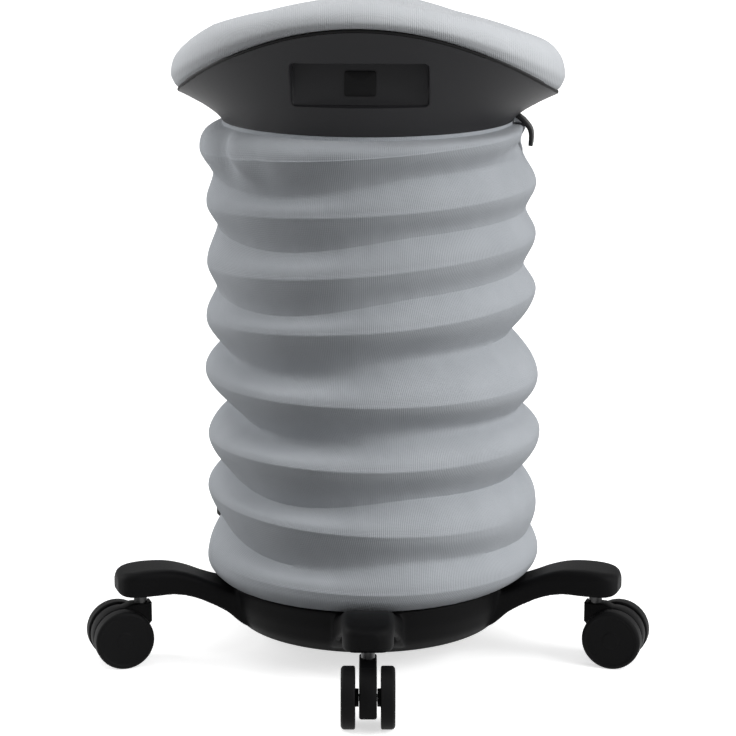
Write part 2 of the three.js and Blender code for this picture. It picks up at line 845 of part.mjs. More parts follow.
const panRadii = [
  seatPanFlatRadius / 2,
  seatPanFlatRadius,
  mix(seatPanFlatRadius, seatPanRadius, 0.4),
  mix(seatPanFlatRadius, seatPanRadius, 0.7),
  cushionHemRadius - overrun,
  cushionHemRadius,
  seatPanRadius,
];

function seatPanGeometry() {
  const tops = panRadii.map((radius) => seatRing((angle) => [radius, panTop(radius, angle)]));
  const unders = panRadii.map((radius) =>
    seatRing((angle) => [radius, panTop(radius, angle) - seatPanThickness]));
  const screwHole = bar(shellScrewRadius + gap, shellFootHeight, cushionCrownHeight);
  return cut(
    skinned([...tops, ...unders.reverse()]),
    ...boltPlaces.map((place) => placed(boltGeometry(gap, overrun), place)),
    ...postAngles.map((angle) => placed(screwHole, polar(shellPostCircle, angle, 0))),
  );
}

// Seat shell

const postAngles = around(4).map((angle) => angle + Math.PI / 4);
const wallShares = [0, 0.25, 0.5, 0.75, 1];
const wallBend = 1.35;

/** Where a post ends, just under the lowest part of the pan above it. */
function postTop(angle) {
  const turn = shellPostRadius / shellPostCircle;
  const corners = [-1, 1].flatMap((out) => [-1, 1].map((side) =>
    panTop(shellPostCircle + out * shellPostRadius, angle + side * turn)));
  return Math.min(...corners) - seatPanThickness - gap;
}

function wallPoint(angle, share, inset) {
  const rise = rimHeight(angle) - shellFootHeight;
  const spread = shellRimRadius - shellFootRadius;
  const slope = (at) => [spread * wallBend * Math.max(at, 0) ** (wallBend - 1), rise];
  const endSlope = slope(1);
  const lift = (inset * endSlope[0]) / Math.hypot(...endSlope) / rise;
  const at = share * (1 - lift);
  const [out, up] = slope(at);
  const length = Math.hypot(out, up);
  return [
    shellFootRadius + spread * at ** wallBend - (inset * up) / length,
    share === 1 ? rimHeight(angle) : shellFootHeight + rise * at + (inset * out) / length,
  ];
}

const wallRings = (inset) =>
  wallShares.map((share) => seatRing((angle) => wallPoint(angle, share, inset)));

/** The box behind the wall that the recess is cut from, grown by a margin. */
function recessBox(margin, front) {
  const half = recessWidth / 2 + margin;
  const low = recessCentreHeight - recessHeight / 2 - margin;
  const high = recessCentreHeight + recessHeight / 2 + margin;
  return block([-half, -front, low], [half, -recessBackRadius + margin, high]);
}

function seatShellGeometry() {
  const wall = skinned([...wallRings(0), ...wallRings(shellWall).reverse()], { loop: true });
  const tray = common(recessBox(shellWall, shellRimRadius), skinned(wallRings(0)));
  const flange = ring(
    shellFlangeInnerRadius, shellFootRadius - shellWall / 2, shellFootHeight,
    shellFootHeight + shellFlangeThickness, seatSegmentCount);
  const posts = postAngles.map((angle) => placed(
    bar(shellPostRadius, shellFootHeight, postTop(angle)), polar(shellPostCircle, angle, 0)));
  const slotFoot = shellFootHeight - overrun;
  const slot = block(
    [shellFootRadius - leverSlotWidth / 4, -leverSlotWidth / 2, slotFoot],
    [shellRimRadius - leverSlotWidth, leverSlotWidth / 2, slotFoot + leverSlotHeight]);
  const screwHole = bar(shellScrewRadius + gap, shellFootHeight - overrun, cushionCrownHeight);
  return cut(
    joined(wall, tray, flange, ...posts),
    recessBox(0, shellRimRadius + overrun),
    placed(slot, { turn: leverTurn }),
    ...postAngles.map((angle) => placed(screwHole, polar(shellPostCircle, angle, 0))),
  );
}

function shellScrewGeometry(angle) {
  const headTop = shellFootHeight - gap;
  const tip = postTop(angle) + gap + shellScrewBite;
  return placed(turned([
    [0, headTop - shellScrewHeadHeight],
    [shellScrewHeadRadius, headTop - shellScrewHeadHeight],
    [shellScrewHeadRadius, headTop],
    [shellScrewRadius, headTop],
    [shellScrewRadius, tip],
    [0, tip],
  ], pinSegmentCount), polar(shellPostCircle, angle, 0));
}

function labelPlateGeometry() {
  const back = -recessBackRadius - gap;
  return block(
    [-labelWidth / 2, back - labelThickness, recessCentreHeight - labelHeight / 2],
    [labelWidth / 2, back, recessCentreHeight + labelHeight / 2]);
}

// Cushion

/** The cushion's outline at an angle, from its seam up its side to the edge of its crown. */
const cushionSideShares = [0, 0.1, 0.33, 0.72, 1];
const cushionSideRadii = [
  cushionSeamRadius,
  mix(cushionSeamRadius, cushionRadius, 0.6),
  cushionRadius,
  mix(cushionTopRadius, cushionRadius, 0.7),
  cushionTopRadius,
];
const crownShares = [0.85, 0.62, 0.32];

const seamHeight = (angle) => rimHeight(angle) + trimHeight;
const cushionThickness = (angle) =>
  mix(cushionEndThickness, cushionSideThickness, Math.cos(angle) ** 2);
const edgeHeight = (angle) => rimHeight(angle) + cushionThickness(angle);

/** Rings over the cushion's side and crown, drawn in by an inset. */
function cushionRings(inset) {
  const sides = cushionSideRadii.map((radius, i) => seatRing((angle) => {
    const rise = edgeHeight(angle) - seamHeight(angle);
    const low = seamHeight(angle) + inset;
    const height = mix(low, seamHeight(angle) + rise - inset, cushionSideShares[i]);
    return [radius - inset, height];
  }));
  const crown = crownShares.map((share) => seatRing((angle) => {
    const bulge = (cushionCrownHeight - edgeHeight(angle)) * (1 - share ** 2);
    return [(cushionTopRadius - inset) * share, edgeHeight(angle) + bulge - inset];
  }));
  return [...sides, ...crown];
}

function seatCoverGeometry() {
  const under = (lift) => [cushionHemRadius, seatPanRadius].map((radius) =>
    seatRing((angle) => [radius, panTop(radius, angle) + gap + lift]));
  const outer = skinned([...under(0), ...cushionRings(0)]);
  const inner = skinned([...under(coverThickness), ...cushionRings(coverThickness)]);
  const hemHole = skinned([-1, 1].map((side) => seatRing((angle) => [
    cushionHemRadius, panTop(cushionHemRadius, angle) + side * 2 * coverThickness])));
  return cut(outer, inner, hemHole);
}

function seatFoamGeometry() {
  const inset = coverThickness + gap;
  const onPan = panRadii.filter((radius) => radius < cushionHemRadius - 2 * overrun);
  const rows = onPan.map((radius) =>
    seatRing((angle) => [radius, panTop(radius, angle) + gap]));
  const overHem = [cushionHemRadius - overrun, seatPanRadius].map((radius) =>
    seatRing((angle) => [radius, panTop(radius, angle) + gap + inset]));
  return skinned([...rows, ...overHem, ...cushionRings(inset)]);
}

function edgeTrimGeometry() {
  const row = (radius, height) => seatRing((angle) => [radius, rimHeight(angle) + height]);
  const inner = shellRimRadius - trimWidth;
  const high = trimHeight - 2 * gap;
  return skinned([
    row(inner, gap), row(shellRimRadius, gap), row(shellRimRadius, high), row(inner, high),
  ], { loop: true });
}

// Sleeve: a ribbed knit tube. Each row is a height, a tilt, a depth and a sideways shift: the
// height as a share of the sleeve's, the tilt of its rib spacing, the last two of its fold depth.

const ridgeShares = [
  [0.0455, -0.03, 0, 0.26],
  [0.174, -0.11, 0.05, 0.235],
  [0.312, 0, 0.02, 0.25],
  [0.448, 0, 0.04, 0.23],
  [0.603, 0.22, 0.16, 0.14],
  [0.721, 0.255, 0.2, 0.14],
  [0.844, 0.185, 0.22, 0.165],
  [0.963, 0.2, 0.1, 0],
];
const valleyShares = [
  [0.112, -0.11, 0.71, 0.6],
  [0.243, -0.055, 0.88, 0.13],
  [0.38, -0.055, 1, 0.38],
  [0.53, 0.1, 1, -0.05],
  [0.662, 0.195, 0.74, 0.09],
  [0.792, 0.14, 0.75, 0.17],
  [0.908, 0.175, 0.74, 0],
];
const lowerBulgeFullness = 0.8;
const upperBulgeFullness = 0.55;
const fullBulgeCount = 4;
const hemLeanShares = [0.6, 0.2];

const sleeveFoot = bowlRimHeight + overrun / 2;
const sleeveTop = shellFootHeight - gap;
const hemRadius = bowlRimRadius + sleeveWall - gap;
const topHemRadius = shellFootRadius - gap;

/** The sleeve's rows from its foot to its top, as [height, tilt, radius, shift] in millimetres. */
function sleeveRows() {
  const span = sleeveTop - sleeveFoot;
  const ribSpacing = span / ribCount;
  const row = ([height, tilt, depth, shift]) => [
    sleeveFoot + span * height, ribSpacing * tilt, sleeveRadius - foldDepth * depth,
    foldDepth * shift];
  const ridges = ridgeShares.map(row);
  const valleys = valleyShares.map(row);
  const first = ridges[0];
  const last = ridges[ridges.length - 1];
  const lean = (share) => [
    mix(sleeveFoot, first[0], (1 - share) ** 2), first[1] * (1 - share),
    mix(first[2], hemRadius, share ** 2), first[3] * (1 - share)];
  const rows = [[sleeveFoot, 0, hemRadius, 0], ...hemLeanShares.map(lean)];
  ridges.forEach((ridge, i) => {
    rows.push(ridge);
    const valley = valleys[i];
    if (!valley) return;
    const fullness = i < fullBulgeCount ? lowerBulgeFullness : upperBulgeFullness;
    const between = (peak) => valley.map((value, k) =>
      mix(value, peak[k], k === 2 ? fullness : 0.5));
    rows.push(between(ridge), valley, between(ridges[i + 1]));
  });
  rows.push(
    [mix(last[0], sleeveTop, 0.5), last[1] / 2, mix(last[2], topHemRadius, 0.4), last[3] / 2],
    [sleeveTop - sleeveHemHeight, 0, topHemRadius, 0],
    [sleeveTop, 0, topHemRadius, 0]);
  return rows;
}

/** How far the lever presses the sleeve in at an angle and height. */
function leverDent(angle, height) {
  const off = Math.atan2(Math.sin(angle - leverTurn), Math.cos(angle - leverTurn));
  const share = Math.min(Math.abs(off) / degrees(leverDentDegrees), 1);
  const low = sleeveTop - (sleeveTop - sleeveFoot) * (1 - valleyShares[6][0]);
  const reach = Math.min(Math.max((height - low) / (leverBladeDrop / 2), 0), 1);
  return leverDentDepth * Math.cos((share * Math.PI) / 2) ** 2 * reach;
}

function sleevePoint([height, tilt, radius, shift], angle, dent) {
  const z = height + tilt * Math.cos(angle);
  const point = polar(radius - dent, angle, z);
  point.x += shift;
  return point;
}

function sleeveGeometry() {
  const rows = sleeveRows();
  const angles = around(sleeveSegmentCount);
  const ends = [0, rows.length - 2, rows.length - 1];
  const ringOf = (row, thickness, hem) => angles.map((angle) => {
    const dent = hem ? 0 : leverDent(angle, row[0]);
    return sleevePoint([row[0], row[1], row[2] - thickness, row[3]], angle, dent);
  });
  const outer = rows.map((row, i) => ringOf(row, 0, ends.includes(i)));
  const inner = rows.map((row, i) => {
    if (ends.includes(i)) return ringOf(row, sleeveWall, true);
    const up = rows[i + 1][0] - rows[i - 1][0];
    const out = rows[i + 1][2] - rows[i - 1][2];
    const facing = Math.max(up / Math.hypot(up, out), 0.5);
    return ringOf(row, sleeveWall / facing, false);
  });
  return skinned([...outer, ...inner.reverse()], { loop: true });
}

function glideRingGeometry() {
  const outer = hemRadius - sleeveWall - gap;
  const foot = bowlRimHeight + gap;
  return ring(
    outer - glideRingWidth, outer, foot, foot + glideRingHeight, sleeveSegmentCount);
}

function topRingGeometry() {
  const outer = topHemRadius - sleeveWall - gap;
  return ring(
    outer - topRingWidth, outer, sleeveTop - topRingHeight, sleeveTop, sleeveSegmentCount);
}

// The whole stool

const lift = new THREE.Group();
lift.rotation.z = degrees(restYawDegrees);
lift.add(
  piece('piston_rod', pistonRodGeometry(), steel),
  piece('piston', ring(rodBore, cylinderBore, pistonTop - pistonLength, pistonTop), steel),
  piece('retaining_clip', ring(rodBore, clipRadius, liftFoot - gap - clipThickness,
    liftFoot - gap, pinSegmentCount), steel),
  piece('thrust_bearing', ring(rodBore, thrustBearingRadius, bearingFoot,
    bearingFoot + thrustBearingLength), steel),
  piece('damper_ring', ring(rodBore, damperRadius, damperFoot, damperFoot + damperLength), rubber),
  piece('sleeve_glide_ring', glideRingGeometry(), greyPlastic),
  piece('sleeve', sleeveGeometry(), knit),
  piece('lift_cylinder', cylinderGeometry(), blackSteel),
  piece('rod_gland', ring(rodBore, cylinderBore, cylinderFoot + gap,
    cylinderFoot + glandLength), greyPlastic),
  piece('lift_bracket', liftBracketGeometry(), blackSteel),
  piece('bump_ring', bumpRingGeometry(), rubber),
  piece('release_pin', bar(releasePinRadius, cylinderTop - releasePinDepth, releasePinTop), steel),
  piece('gimbal_cross', gimbalGeometry(), steel),
  piece('seat_bracket', seatBracketGeometry(), blackSteel),
  piece('release_lever', leverGeometry(), blackSteel),
  piece('lever_fulcrum_pin', fulcrumPinGeometry(), steel),
  ...boltPlaces.map((place, i) =>
    piece(`bracket_bolt_${i + 1}`, placed(boltGeometry(0, 0), place), steel)),
  piece('seat_pan', seatPanGeometry(), plywood),
  piece('seat_shell', seatShellGeometry(), shellPlastic),
  ...postAngles.map((angle, i) => piece(`shell_screw_${i + 1}`, shellScrewGeometry(angle), steel)),
  piece('label_plate', labelPlateGeometry(), blackNylon),
  piece('edge_trim', edgeTrimGeometry(), rubber),
  piece('seat_foam', seatFoamGeometry(), foam),
  piece('seat_cover', seatCoverGeometry(), knit),
  piece('sleeve_top_ring', topRingGeometry(), greyPlastic),
);

// The stool's footprint is centred on the origin
const frontReach = castorCircleRadius + castorTrail + wheelRadius;
const rearReach = castorCircleRadius * Math.sin(armAngles[3]) + castorTrail + wheelRadius;

const stool = new THREE.Group();
stool.name = 'wobble_stool';
stool.position.y = (frontReach - rearReach) / 2;
stool.add(
  piece('star_base', starBaseGeometry(), blackNylon),
  piece('lift_outer_tube', liftTubeGeometry(), blackSteel),
  piece('lift_guide_bush', guideBushGeometry(), greyPlastic),
  ...armAngles.map((angle, i) => castor(i + 1, angle, trailAngles[i])),
  lift,
);
stool.updateMatrixWorld(true);

export default stool;
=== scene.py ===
"""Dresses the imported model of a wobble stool.

The stool has a low star base on five twin-wheel castors, a gas lift inside a ribbed knit sleeve, a
sprung gimbal, and a dark seat shell under a domed knit cushion. Lengths are in metres and the row
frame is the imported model's own: +Z is up and the camera looks along +Y.
"""

import json
import logging
import math
from collections.abc import Sequence
from dataclasses import dataclass
from enum import Enum

import bmesh
import bpy
import numpy as np
from mathutils import Matrix, Vector

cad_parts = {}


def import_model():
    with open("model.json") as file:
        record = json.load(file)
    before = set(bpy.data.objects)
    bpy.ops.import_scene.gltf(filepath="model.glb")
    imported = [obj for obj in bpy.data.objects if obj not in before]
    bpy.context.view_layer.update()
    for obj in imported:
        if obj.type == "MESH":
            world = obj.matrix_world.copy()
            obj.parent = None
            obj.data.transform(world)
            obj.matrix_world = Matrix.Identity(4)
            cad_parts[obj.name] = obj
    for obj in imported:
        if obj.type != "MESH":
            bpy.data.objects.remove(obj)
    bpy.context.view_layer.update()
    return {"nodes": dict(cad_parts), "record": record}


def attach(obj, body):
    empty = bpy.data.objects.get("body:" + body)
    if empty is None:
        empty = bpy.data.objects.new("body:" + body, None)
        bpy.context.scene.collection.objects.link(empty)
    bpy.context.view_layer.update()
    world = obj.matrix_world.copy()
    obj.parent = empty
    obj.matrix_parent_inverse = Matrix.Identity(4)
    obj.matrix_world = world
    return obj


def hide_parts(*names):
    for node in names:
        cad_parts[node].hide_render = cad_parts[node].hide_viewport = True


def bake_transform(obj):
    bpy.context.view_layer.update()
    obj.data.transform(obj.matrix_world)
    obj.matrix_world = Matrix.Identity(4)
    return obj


LOG = logging.getLogger("wobble_stool")
Colour = tuple[float, float, float]

COLUMN_Y = 0.01935
REST_YAW = math.radians(-3)


class Body(Enum):
    """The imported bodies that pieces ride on."""

    BASE = "base"
    COLUMN = "column"
    LIFT = "lift"
    GIMBAL = "gimbal"
    SEAT = "seat"
    LEVER = "lever"


class Slot(Enum):
    """The record's material slots, by which the imported solids take their finish."""

    NYLON = "black_nylon"
    WHEEL = "wheel_black"
    STEEL = "bright_steel"
    BLACK_STEEL = "black_steel"
    GREY_PLASTIC = "grey_plastic"
    RUBBER = "black_rubber"
    SHELL = "shell_plastic"
    LABEL = "label_plastic"
    PLYWOOD = "plywood"
    FOAM = "foam"
    KNIT = "grey_knit"


def on_column(yawed: bool = True) -> Matrix:
    """The place of the column's own frame in the row frame.

    Args:
        yawed: whether the frame turns with the seat, which stands a little askew at rest.

    Returns:
        The matrix from column coordinates to row coordinates.
    """
    turn = Matrix.Rotation(REST_YAW if yawed else 0.0, 4, "Z")
    return Matrix.Translation((0.0, COLUMN_Y, 0.0)) @ turn


def mix(low: float, high: float, share: float) -> float:
    """A value part of the way from low to high."""
    return low + (high - low) * share


def smooth_step(value: float) -> float:
    """An eased share between 0 and 1."""
    bounded = min(max(value, 0.0), 1.0)
    return bounded * bounded * (3 - 2 * bounded)


def ring_angles(count: int) -> np.ndarray:
    """Equal angles round a circle, starting at +X."""
    return np.arange(count) * (2 * math.pi / count)


def wrapped(angle: float) -> float:
    """The same angle between minus and plus half a turn."""
    return (angle + math.pi) % (2 * math.pi) - math.pi


def hump(away: float, half_width: float) -> float:
    """A smooth hump, which is 1 at its middle and 0 from its half width on."""
    if abs(away) >= half_width:
        return 0.0
    return 0.5 + 0.5 * math.cos(math.pi * away / half_width)


def in_scene(name: str, data: bpy.types.ID) -> bpy.types.Object:
    """A new object of a mesh, a light or a camera, linked to the scene."""
    made = bpy.data.objects.new(name, data)
    bpy.context.scene.collection.objects.link(made)
    return made


# Meshes


def linked(name: str, mesh: bpy.types.Mesh) -> bpy.types.Object:
    """A smooth-shaded object of a mesh, linked to the scene."""
    mesh.polygons.foreach_set("use_smooth", [True] * len(mesh.polygons))
    return in_scene(name, mesh)


def finished(
    obj: bpy.types.Object, material: bpy.types.Material, crease: float
) -> bpy.types.Object:
    """Gives a piece its only material and keeps its keen edges.

    Args:
        obj: the piece.
        material: its finish.
        crease: the angle, in degrees, over which an edge is sharp.

    Returns:
        The same object.
    """
    mesh = obj.data
    mesh.set_sharp_from_angle(angle=math.radians(crease))
    mesh.materials.clear()
    mesh.materials.append(material)
    mesh.polygons.foreach_set("material_index", [0] * len(mesh.polygons))
    return obj


def skin(
    name: str,
    rings: np.ndarray,
    loop: bool = False,
    cloth: np.ndarray | None = None,
) -> bpy.types.Object:
    """A closed surface through equal rings of points.

    Args:
        name: the piece's name.
        rings: an array of rows, columns and coordinates; each row is one closed ring.
        loop: joins the last ring to the first, for a wall with two faces. Otherwise each end
            closes on its middle.
        cloth: for each row and column, with one column more than rings, the place on the cloth
            in metres, which becomes the piece's own UV map.

    Returns:
        The new object.
    """
    rows, columns = rings.shape[:2]
    points = rings.reshape(-1, 3)
    at = lambda row, column: row * columns + column % columns
    quads, corners = [], []
    for row in range(rows if loop else rows - 1):
        above = (row + 1) % rows
        for column in range(columns):
            quads.append(
                (at(row, column), at(row, column + 1), at(above, column + 1), at(above, column))
            )
            corners.append(
                ((row, column), (row, column + 1), (above, column + 1), (above, column))
            )
    faces: list[tuple[int, ...]] = list(quads)
    if not loop:
        middles = np.array([rings[0].mean(axis=0), rings[-1].mean(axis=0)])
        points = np.vstack([points, middles])
        low, high = len(points) - 2, len(points) - 1
        for column in range(columns):
            faces.append((low, at(0, column + 1), at(0, column)))
            faces.append((high, at(rows - 1, column), at(rows - 1, column + 1)))
    mesh = bpy.data.meshes.new(name)
    mesh.from_pydata(points.tolist(), [], faces)
    if cloth is not None:
        layer = mesh.uv_layers.new(name="cloth")
        flat = [cloth[row, column] for quad in corners for row, column in quad]
        values = np.zeros((len(mesh.loops), 2))
        values[: len(flat)] = flat
        layer.data.foreach_set("uv", values.ravel())
    shape = bmesh.new()
    shape.from_mesh(mesh)
    if shape.calc_volume(signed=True) < 0:
        bmesh.ops.reverse_faces(shape, faces=shape.faces[:])
    shape.to_mesh(mesh)
    shape.free()
    return linked(name, mesh)


def ringed(
    columns: Sequence[Sequence[tuple[float, float]]], angles: Sequence[float]
) -> np.ndarray:
    """Rows of points from an upright profile at each angle.

    Args:
        columns: the radius and height of each point, for each angle.
        angles: the angles, in radians.

    Returns:
        An array of rows, angles and coordinates.
    """
    return np.array(
        [
            [(c[row][0] * math.cos(t), c[row][0] * math.sin(t), c[row][1])
             for c, t in zip(columns, angles)]
            for row in range(len(columns[0]))
        ]
    )


def turned(
    name: str, profile: Sequence[tuple[float, float]], segments: int = 96
) -> bpy.types.Object:
    """A solid of revolution about Z.

    Args:
        name: the piece's name.
        profile: radius and height of each point, round the whole outline. Where it ends on the
            axis at both ends the solid closes there, and otherwise it is a ring.
        segments: points round the circle.

    Returns:
        The new object.
    """
    solid = profile[0][0] < 1e-9 and profile[-1][0] < 1e-9
    rows = profile[1:-1] if solid else profile
    made = skin(name, ringed([rows] * segments, ring_angles(segments)), loop=not solid)
    if solid:
        vertices = made.data.vertices
        vertices[len(vertices) - 2].co.z = profile[0][1]
        vertices[len(vertices) - 1].co.z = profile[-1][1]
    return made


def bar(radius: float, foot: float, top: float) -> list[tuple[float, float]]:
    """The profile of a plain round bar."""
    return [(0, foot), (radius, foot), (radius, top), (0, top)]


def rounded(
    outline: Sequence[tuple[float, float, float]], steps: int = 5
) -> list[tuple[float, float]]:
    """A closed outline with its corners rounded.

    Args:
        outline: first coordinate, second coordinate and corner radius of each corner.
        steps: points on each rounded corner.

    Returns:
        The points of the outline.
    """
    result: list[tuple[float, float]] = []
    count = len(outline)
    for i, (x, y, radius) in enumerate(outline):
        if radius <= 0:
            result.append((x, y))
            continue
        here = Vector((x, y))
        before = Vector(outline[i - 1][:2]) - here
        after = Vector(outline[(i + 1) % count][:2]) - here
        reach = min(radius, before.length * 0.49, after.length * 0.49)
        start, end = here + before.normalized() * reach, here + after.normalized() * reach
        for step in range(steps + 1):
            t = step / steps
            point = start * (1 - t) ** 2 + here * 2 * t * (1 - t) + end * t * t
            result.append((point.x, point.y))
    return result


def spline(points: Sequence[Sequence[float]], steps: int) -> np.ndarray:
    """A smooth line through points.

    Args:
        points: the points it passes through.
        steps: how many pieces each span is divided into.

    Returns:
        The points on the line, the first and last included.
    """
    knots = np.array(points, float)
    padded = np.vstack([2 * knots[0] - knots[1], knots, 2 * knots[-1] - knots[-2]])
    line = []
    for i in range(len(knots) - 1):
        p0, p1, p2, p3 = padded[i : i + 4]
        for step in range(steps):
            t = step / steps
            line.append(
                0.5
                * (
                    2 * p1
                    + (p2 - p0) * t
                    + (2 * p0 - 5 * p1 + 4 * p2 - p3) * t * t
                    + (3 * p1 - p0 - 3 * p2 + p3) * t**3
                )
            )
    line.append(knots[-1])
    return np.array(line)


def loft(name: str, sections: Sequence[Sequence[Sequence[float]]]) -> bpy.types.Object:
    """A closed body through sections with equal numbers of points."""
    return skin(name, np.array(sections, float))


def settled(obj: bpy.types.Object) -> bpy.types.Object:
    """Bakes an object's modifiers into a plain mesh and removes them.

    Args:
        obj: the object.

    Returns:
        The same object with its new mesh.
    """
    graph = bpy.context.evaluated_depsgraph_get()
    mesh = bpy.data.meshes.new_from_object(obj.evaluated_get(graph))
    obj.modifiers.clear()
    old = obj.data
    obj.data = mesh
    bpy.data.meshes.remove(old)
    return obj


def placed(obj: bpy.types.Object, place: Matrix) -> bpy.types.Object:
    """Moves an object's mesh, and leaves the object at the origin."""
    obj.data.transform(place)
    obj.data.update()
    return obj


def cut_away(obj: bpy.types.Object, *tools: bpy.types.Object) -> bpy.types.Object:
    """Cuts closed bodies out of an object and deletes them.

    Args:
        obj: the object that is cut.
        tools: the bodies that are taken out of it.

    Returns:
        The object with its new mesh.
    """
    for tool in tools:
        change = obj.modifiers.new("cut", "BOOLEAN")
        change.operation = "DIFFERENCE"
        change.solver = "EXACT"
        change.object = tool
        settled(obj)
        bpy.data.objects.remove(tool)
    return obj


def merged(name: str, *parts: bpy.types.Object) -> bpy.types.Object:
    """Joins objects into one piece and deletes them.

    Args:
        name: the new piece's name.
        parts: the objects to join.

    Returns:
        The new object.
    """
    shape = bmesh.new()
    for part in parts:
        shape.from_mesh(part.data)
    mesh = bpy.data.meshes.new(name)
    shape.to_mesh(mesh)
    shape.free()
    for part in parts:
        bpy.data.objects.remove(part)
    return linked(name, mesh)


def remoulded(obj: bpy.types.Object, voxel: float, passes: int) -> bpy.types.Object:
    """Melts interlocking bodies into one skin with small fillets, as a moulding has.

    Args:
        obj: the object.
        voxel: the size of the new faces.
        passes: how often the new skin is smoothed.

    Returns:
        The object with its new mesh.
    """
    change = obj.modifiers.new("remesh", "REMESH")
    change.mode = "VOXEL"
    change.voxel_size = voxel
    change.use_smooth_shade = True
    ease = obj.modifiers.new("ease", "SMOOTH")
    ease.factor = 0.5
    ease.iterations = passes
    return settled(obj)


def quilted_uv(obj: bpy.types.Object, across: float) -> None:
    """Lays a seen-from-above UV map, in metres, on a piece.

    Args:
        obj: the piece.
        across: how many metres of cloth lie on a metre of the piece.
    """
    mesh = obj.data
    layer = mesh.uv_layers.get("cloth") or mesh.uv_layers.new(name="cloth")
    points = np.empty(len(mesh.vertices) * 3)
    mesh.vertices.foreach_get("co", points)
    index = np.empty(len(mesh.loops), int)
    mesh.loops.foreach_get("vertex_index", index)
    flat = points.reshape(-1, 3)[index][:, :2] * across
    layer.data.foreach_set("uv", flat.ravel())


# Geometry Nodes


class RoundArray:
    """A Geometry Nodes tree that repeats a shape round the Z axis."""

    COUNT = "Count"
    RADIUS = "Radius"
    START = "Start Angle"
    FINISH = "Finish"

    def __init__(self) -> None:
        """Builds the tree once, with named inputs."""
        tree = bpy.data.node_groups.new("repeat_round", "GeometryNodeTree")
        ask = tree.interface.new_socket
        ask("Geometry", in_out="INPUT", socket_type="NodeSocketGeometry")
        ask(self.COUNT, in_out="INPUT", socket_type="NodeSocketInt").default_value = 4
        ask(self.RADIUS, in_out="INPUT", socket_type="NodeSocketFloat")
        ask(self.START, in_out="INPUT", socket_type="NodeSocketFloat")
        ask(self.FINISH, in_out="INPUT", socket_type="NodeSocketMaterial")
        ask("Geometry", in_out="OUTPUT", socket_type="NodeSocketGeometry")
        self.tree = tree
        nodes, links = tree.nodes, tree.links
        source = nodes.new("NodeGroupInput")
        result = nodes.new("NodeGroupOutput")
        points = nodes.new("GeometryNodePoints")
        links.new(source.outputs[self.COUNT], points.inputs["Count"])
        index = nodes.new("GeometryNodeInputIndex")
        step = nodes.new("ShaderNodeMath")
        step.operation = "DIVIDE"
        step.inputs[0].default_value = 2 * math.pi
        links.new(source.outputs[self.COUNT], step.inputs[1])
        turn = nodes.new("ShaderNodeMath")
        turn.operation = "MULTIPLY_ADD"
        links.new(index.outputs[0], turn.inputs[0])
        links.new(step.outputs[0], turn.inputs[1])
        links.new(source.outputs[self.START], turn.inputs[2])
        spin = nodes.new("ShaderNodeCombineXYZ")
        links.new(turn.outputs[0], spin.inputs["Z"])
        out = nodes.new("ShaderNodeCombineXYZ")
        links.new(source.outputs[self.RADIUS], out.inputs["X"])
        moved = nodes.new("GeometryNodeTransform")
        links.new(source.outputs["Geometry"], moved.inputs["Geometry"])
        links.new(out.outputs[0], moved.inputs["Translation"])
        spread = nodes.new("GeometryNodeInstanceOnPoints")
        links.new(points.outputs[0], spread.inputs["Points"])
        links.new(moved.outputs[0], spread.inputs["Instance"])
        links.new(spin.outputs[0], spread.inputs["Rotation"])
        real = nodes.new("GeometryNodeRealizeInstances")
        links.new(spread.outputs[0], real.inputs[0])
        paint = nodes.new("GeometryNodeSetMaterial")
        links.new(real.outputs[0], paint.inputs["Geometry"])
        links.new(source.outputs[self.FINISH], paint.inputs["Material"])
        links.new(paint.outputs[0], result.inputs[0])

    def repeat(
        self,
        obj: bpy.types.Object,
        count: int,
        radius: float = 0.0,
        start: float = 0.0,
        finish: bpy.types.Material | None = None,
    ) -> bpy.types.Object:
        """Repeats an object's shape round the Z axis and bakes the result.

        Args:
            obj: the object that holds one copy.
            count: how many copies there are.
            radius: how far each copy moves out along +X before it is turned.
            start: the angle of the first copy, in radians.
            finish: the material of every copy.

        Returns:
            The object with its new mesh.
        """
        change = obj.modifiers.new("repeat_round", "NODES")
        change.node_group = self.tree
        wanted = {
            self.COUNT: count,
            self.RADIUS: radius,
            self.START: start,
            self.FINISH: finish,
        }
        for item in self.tree.interface.items_tree:
            if item.in_out == "INPUT" and wanted.get(item.name) is not None:
                change[item.identifier] = wanted[item.name]
        made = settled(obj)
        made.data.polygons.foreach_set("use_smooth", [True] * len(made.data.polygons))
        return made


# Finishes


def node_group(
    name: str, asks: dict[str, str], gives: dict[str, str]
) -> tuple[bpy.types.NodeTree, bpy.types.Node, bpy.types.Node]:
    """A shader node group with named sockets.

    Args:
        name: the group's name.
        asks: socket type of each input.
        gives: socket type of each output.

    Returns:
        The group, its input node and its output node.
    """
    tree = bpy.data.node_groups.new(name, "ShaderNodeTree")
    for label, kind in asks.items():
        tree.interface.new_socket(label, in_out="INPUT", socket_type=kind)
    for label, kind in gives.items():
        tree.interface.new_socket(label, in_out="OUTPUT", socket_type=kind)
    return tree, tree.nodes.new("NodeGroupInput"), tree.nodes.new("NodeGroupOutput")


def maths(tree: bpy.types.NodeTree, operation: str, *values: object) -> bpy.types.NodeSocket:
    """A Math node whose inputs are sockets or numbers.

    Args:
        tree: the tree it is made in.
        operation: the node's operation.
        values: the inputs in order.

    Returns:
        The node's output.
    """
    made = tree.nodes.new("ShaderNodeMath")
    made.operation = operation
    for slot, value in zip(made.inputs, values):
        if isinstance(value, bpy.types.NodeSocket):
            tree.links.new(value, slot)
        else:
            slot.default_value = value
    return made.outputs[0]


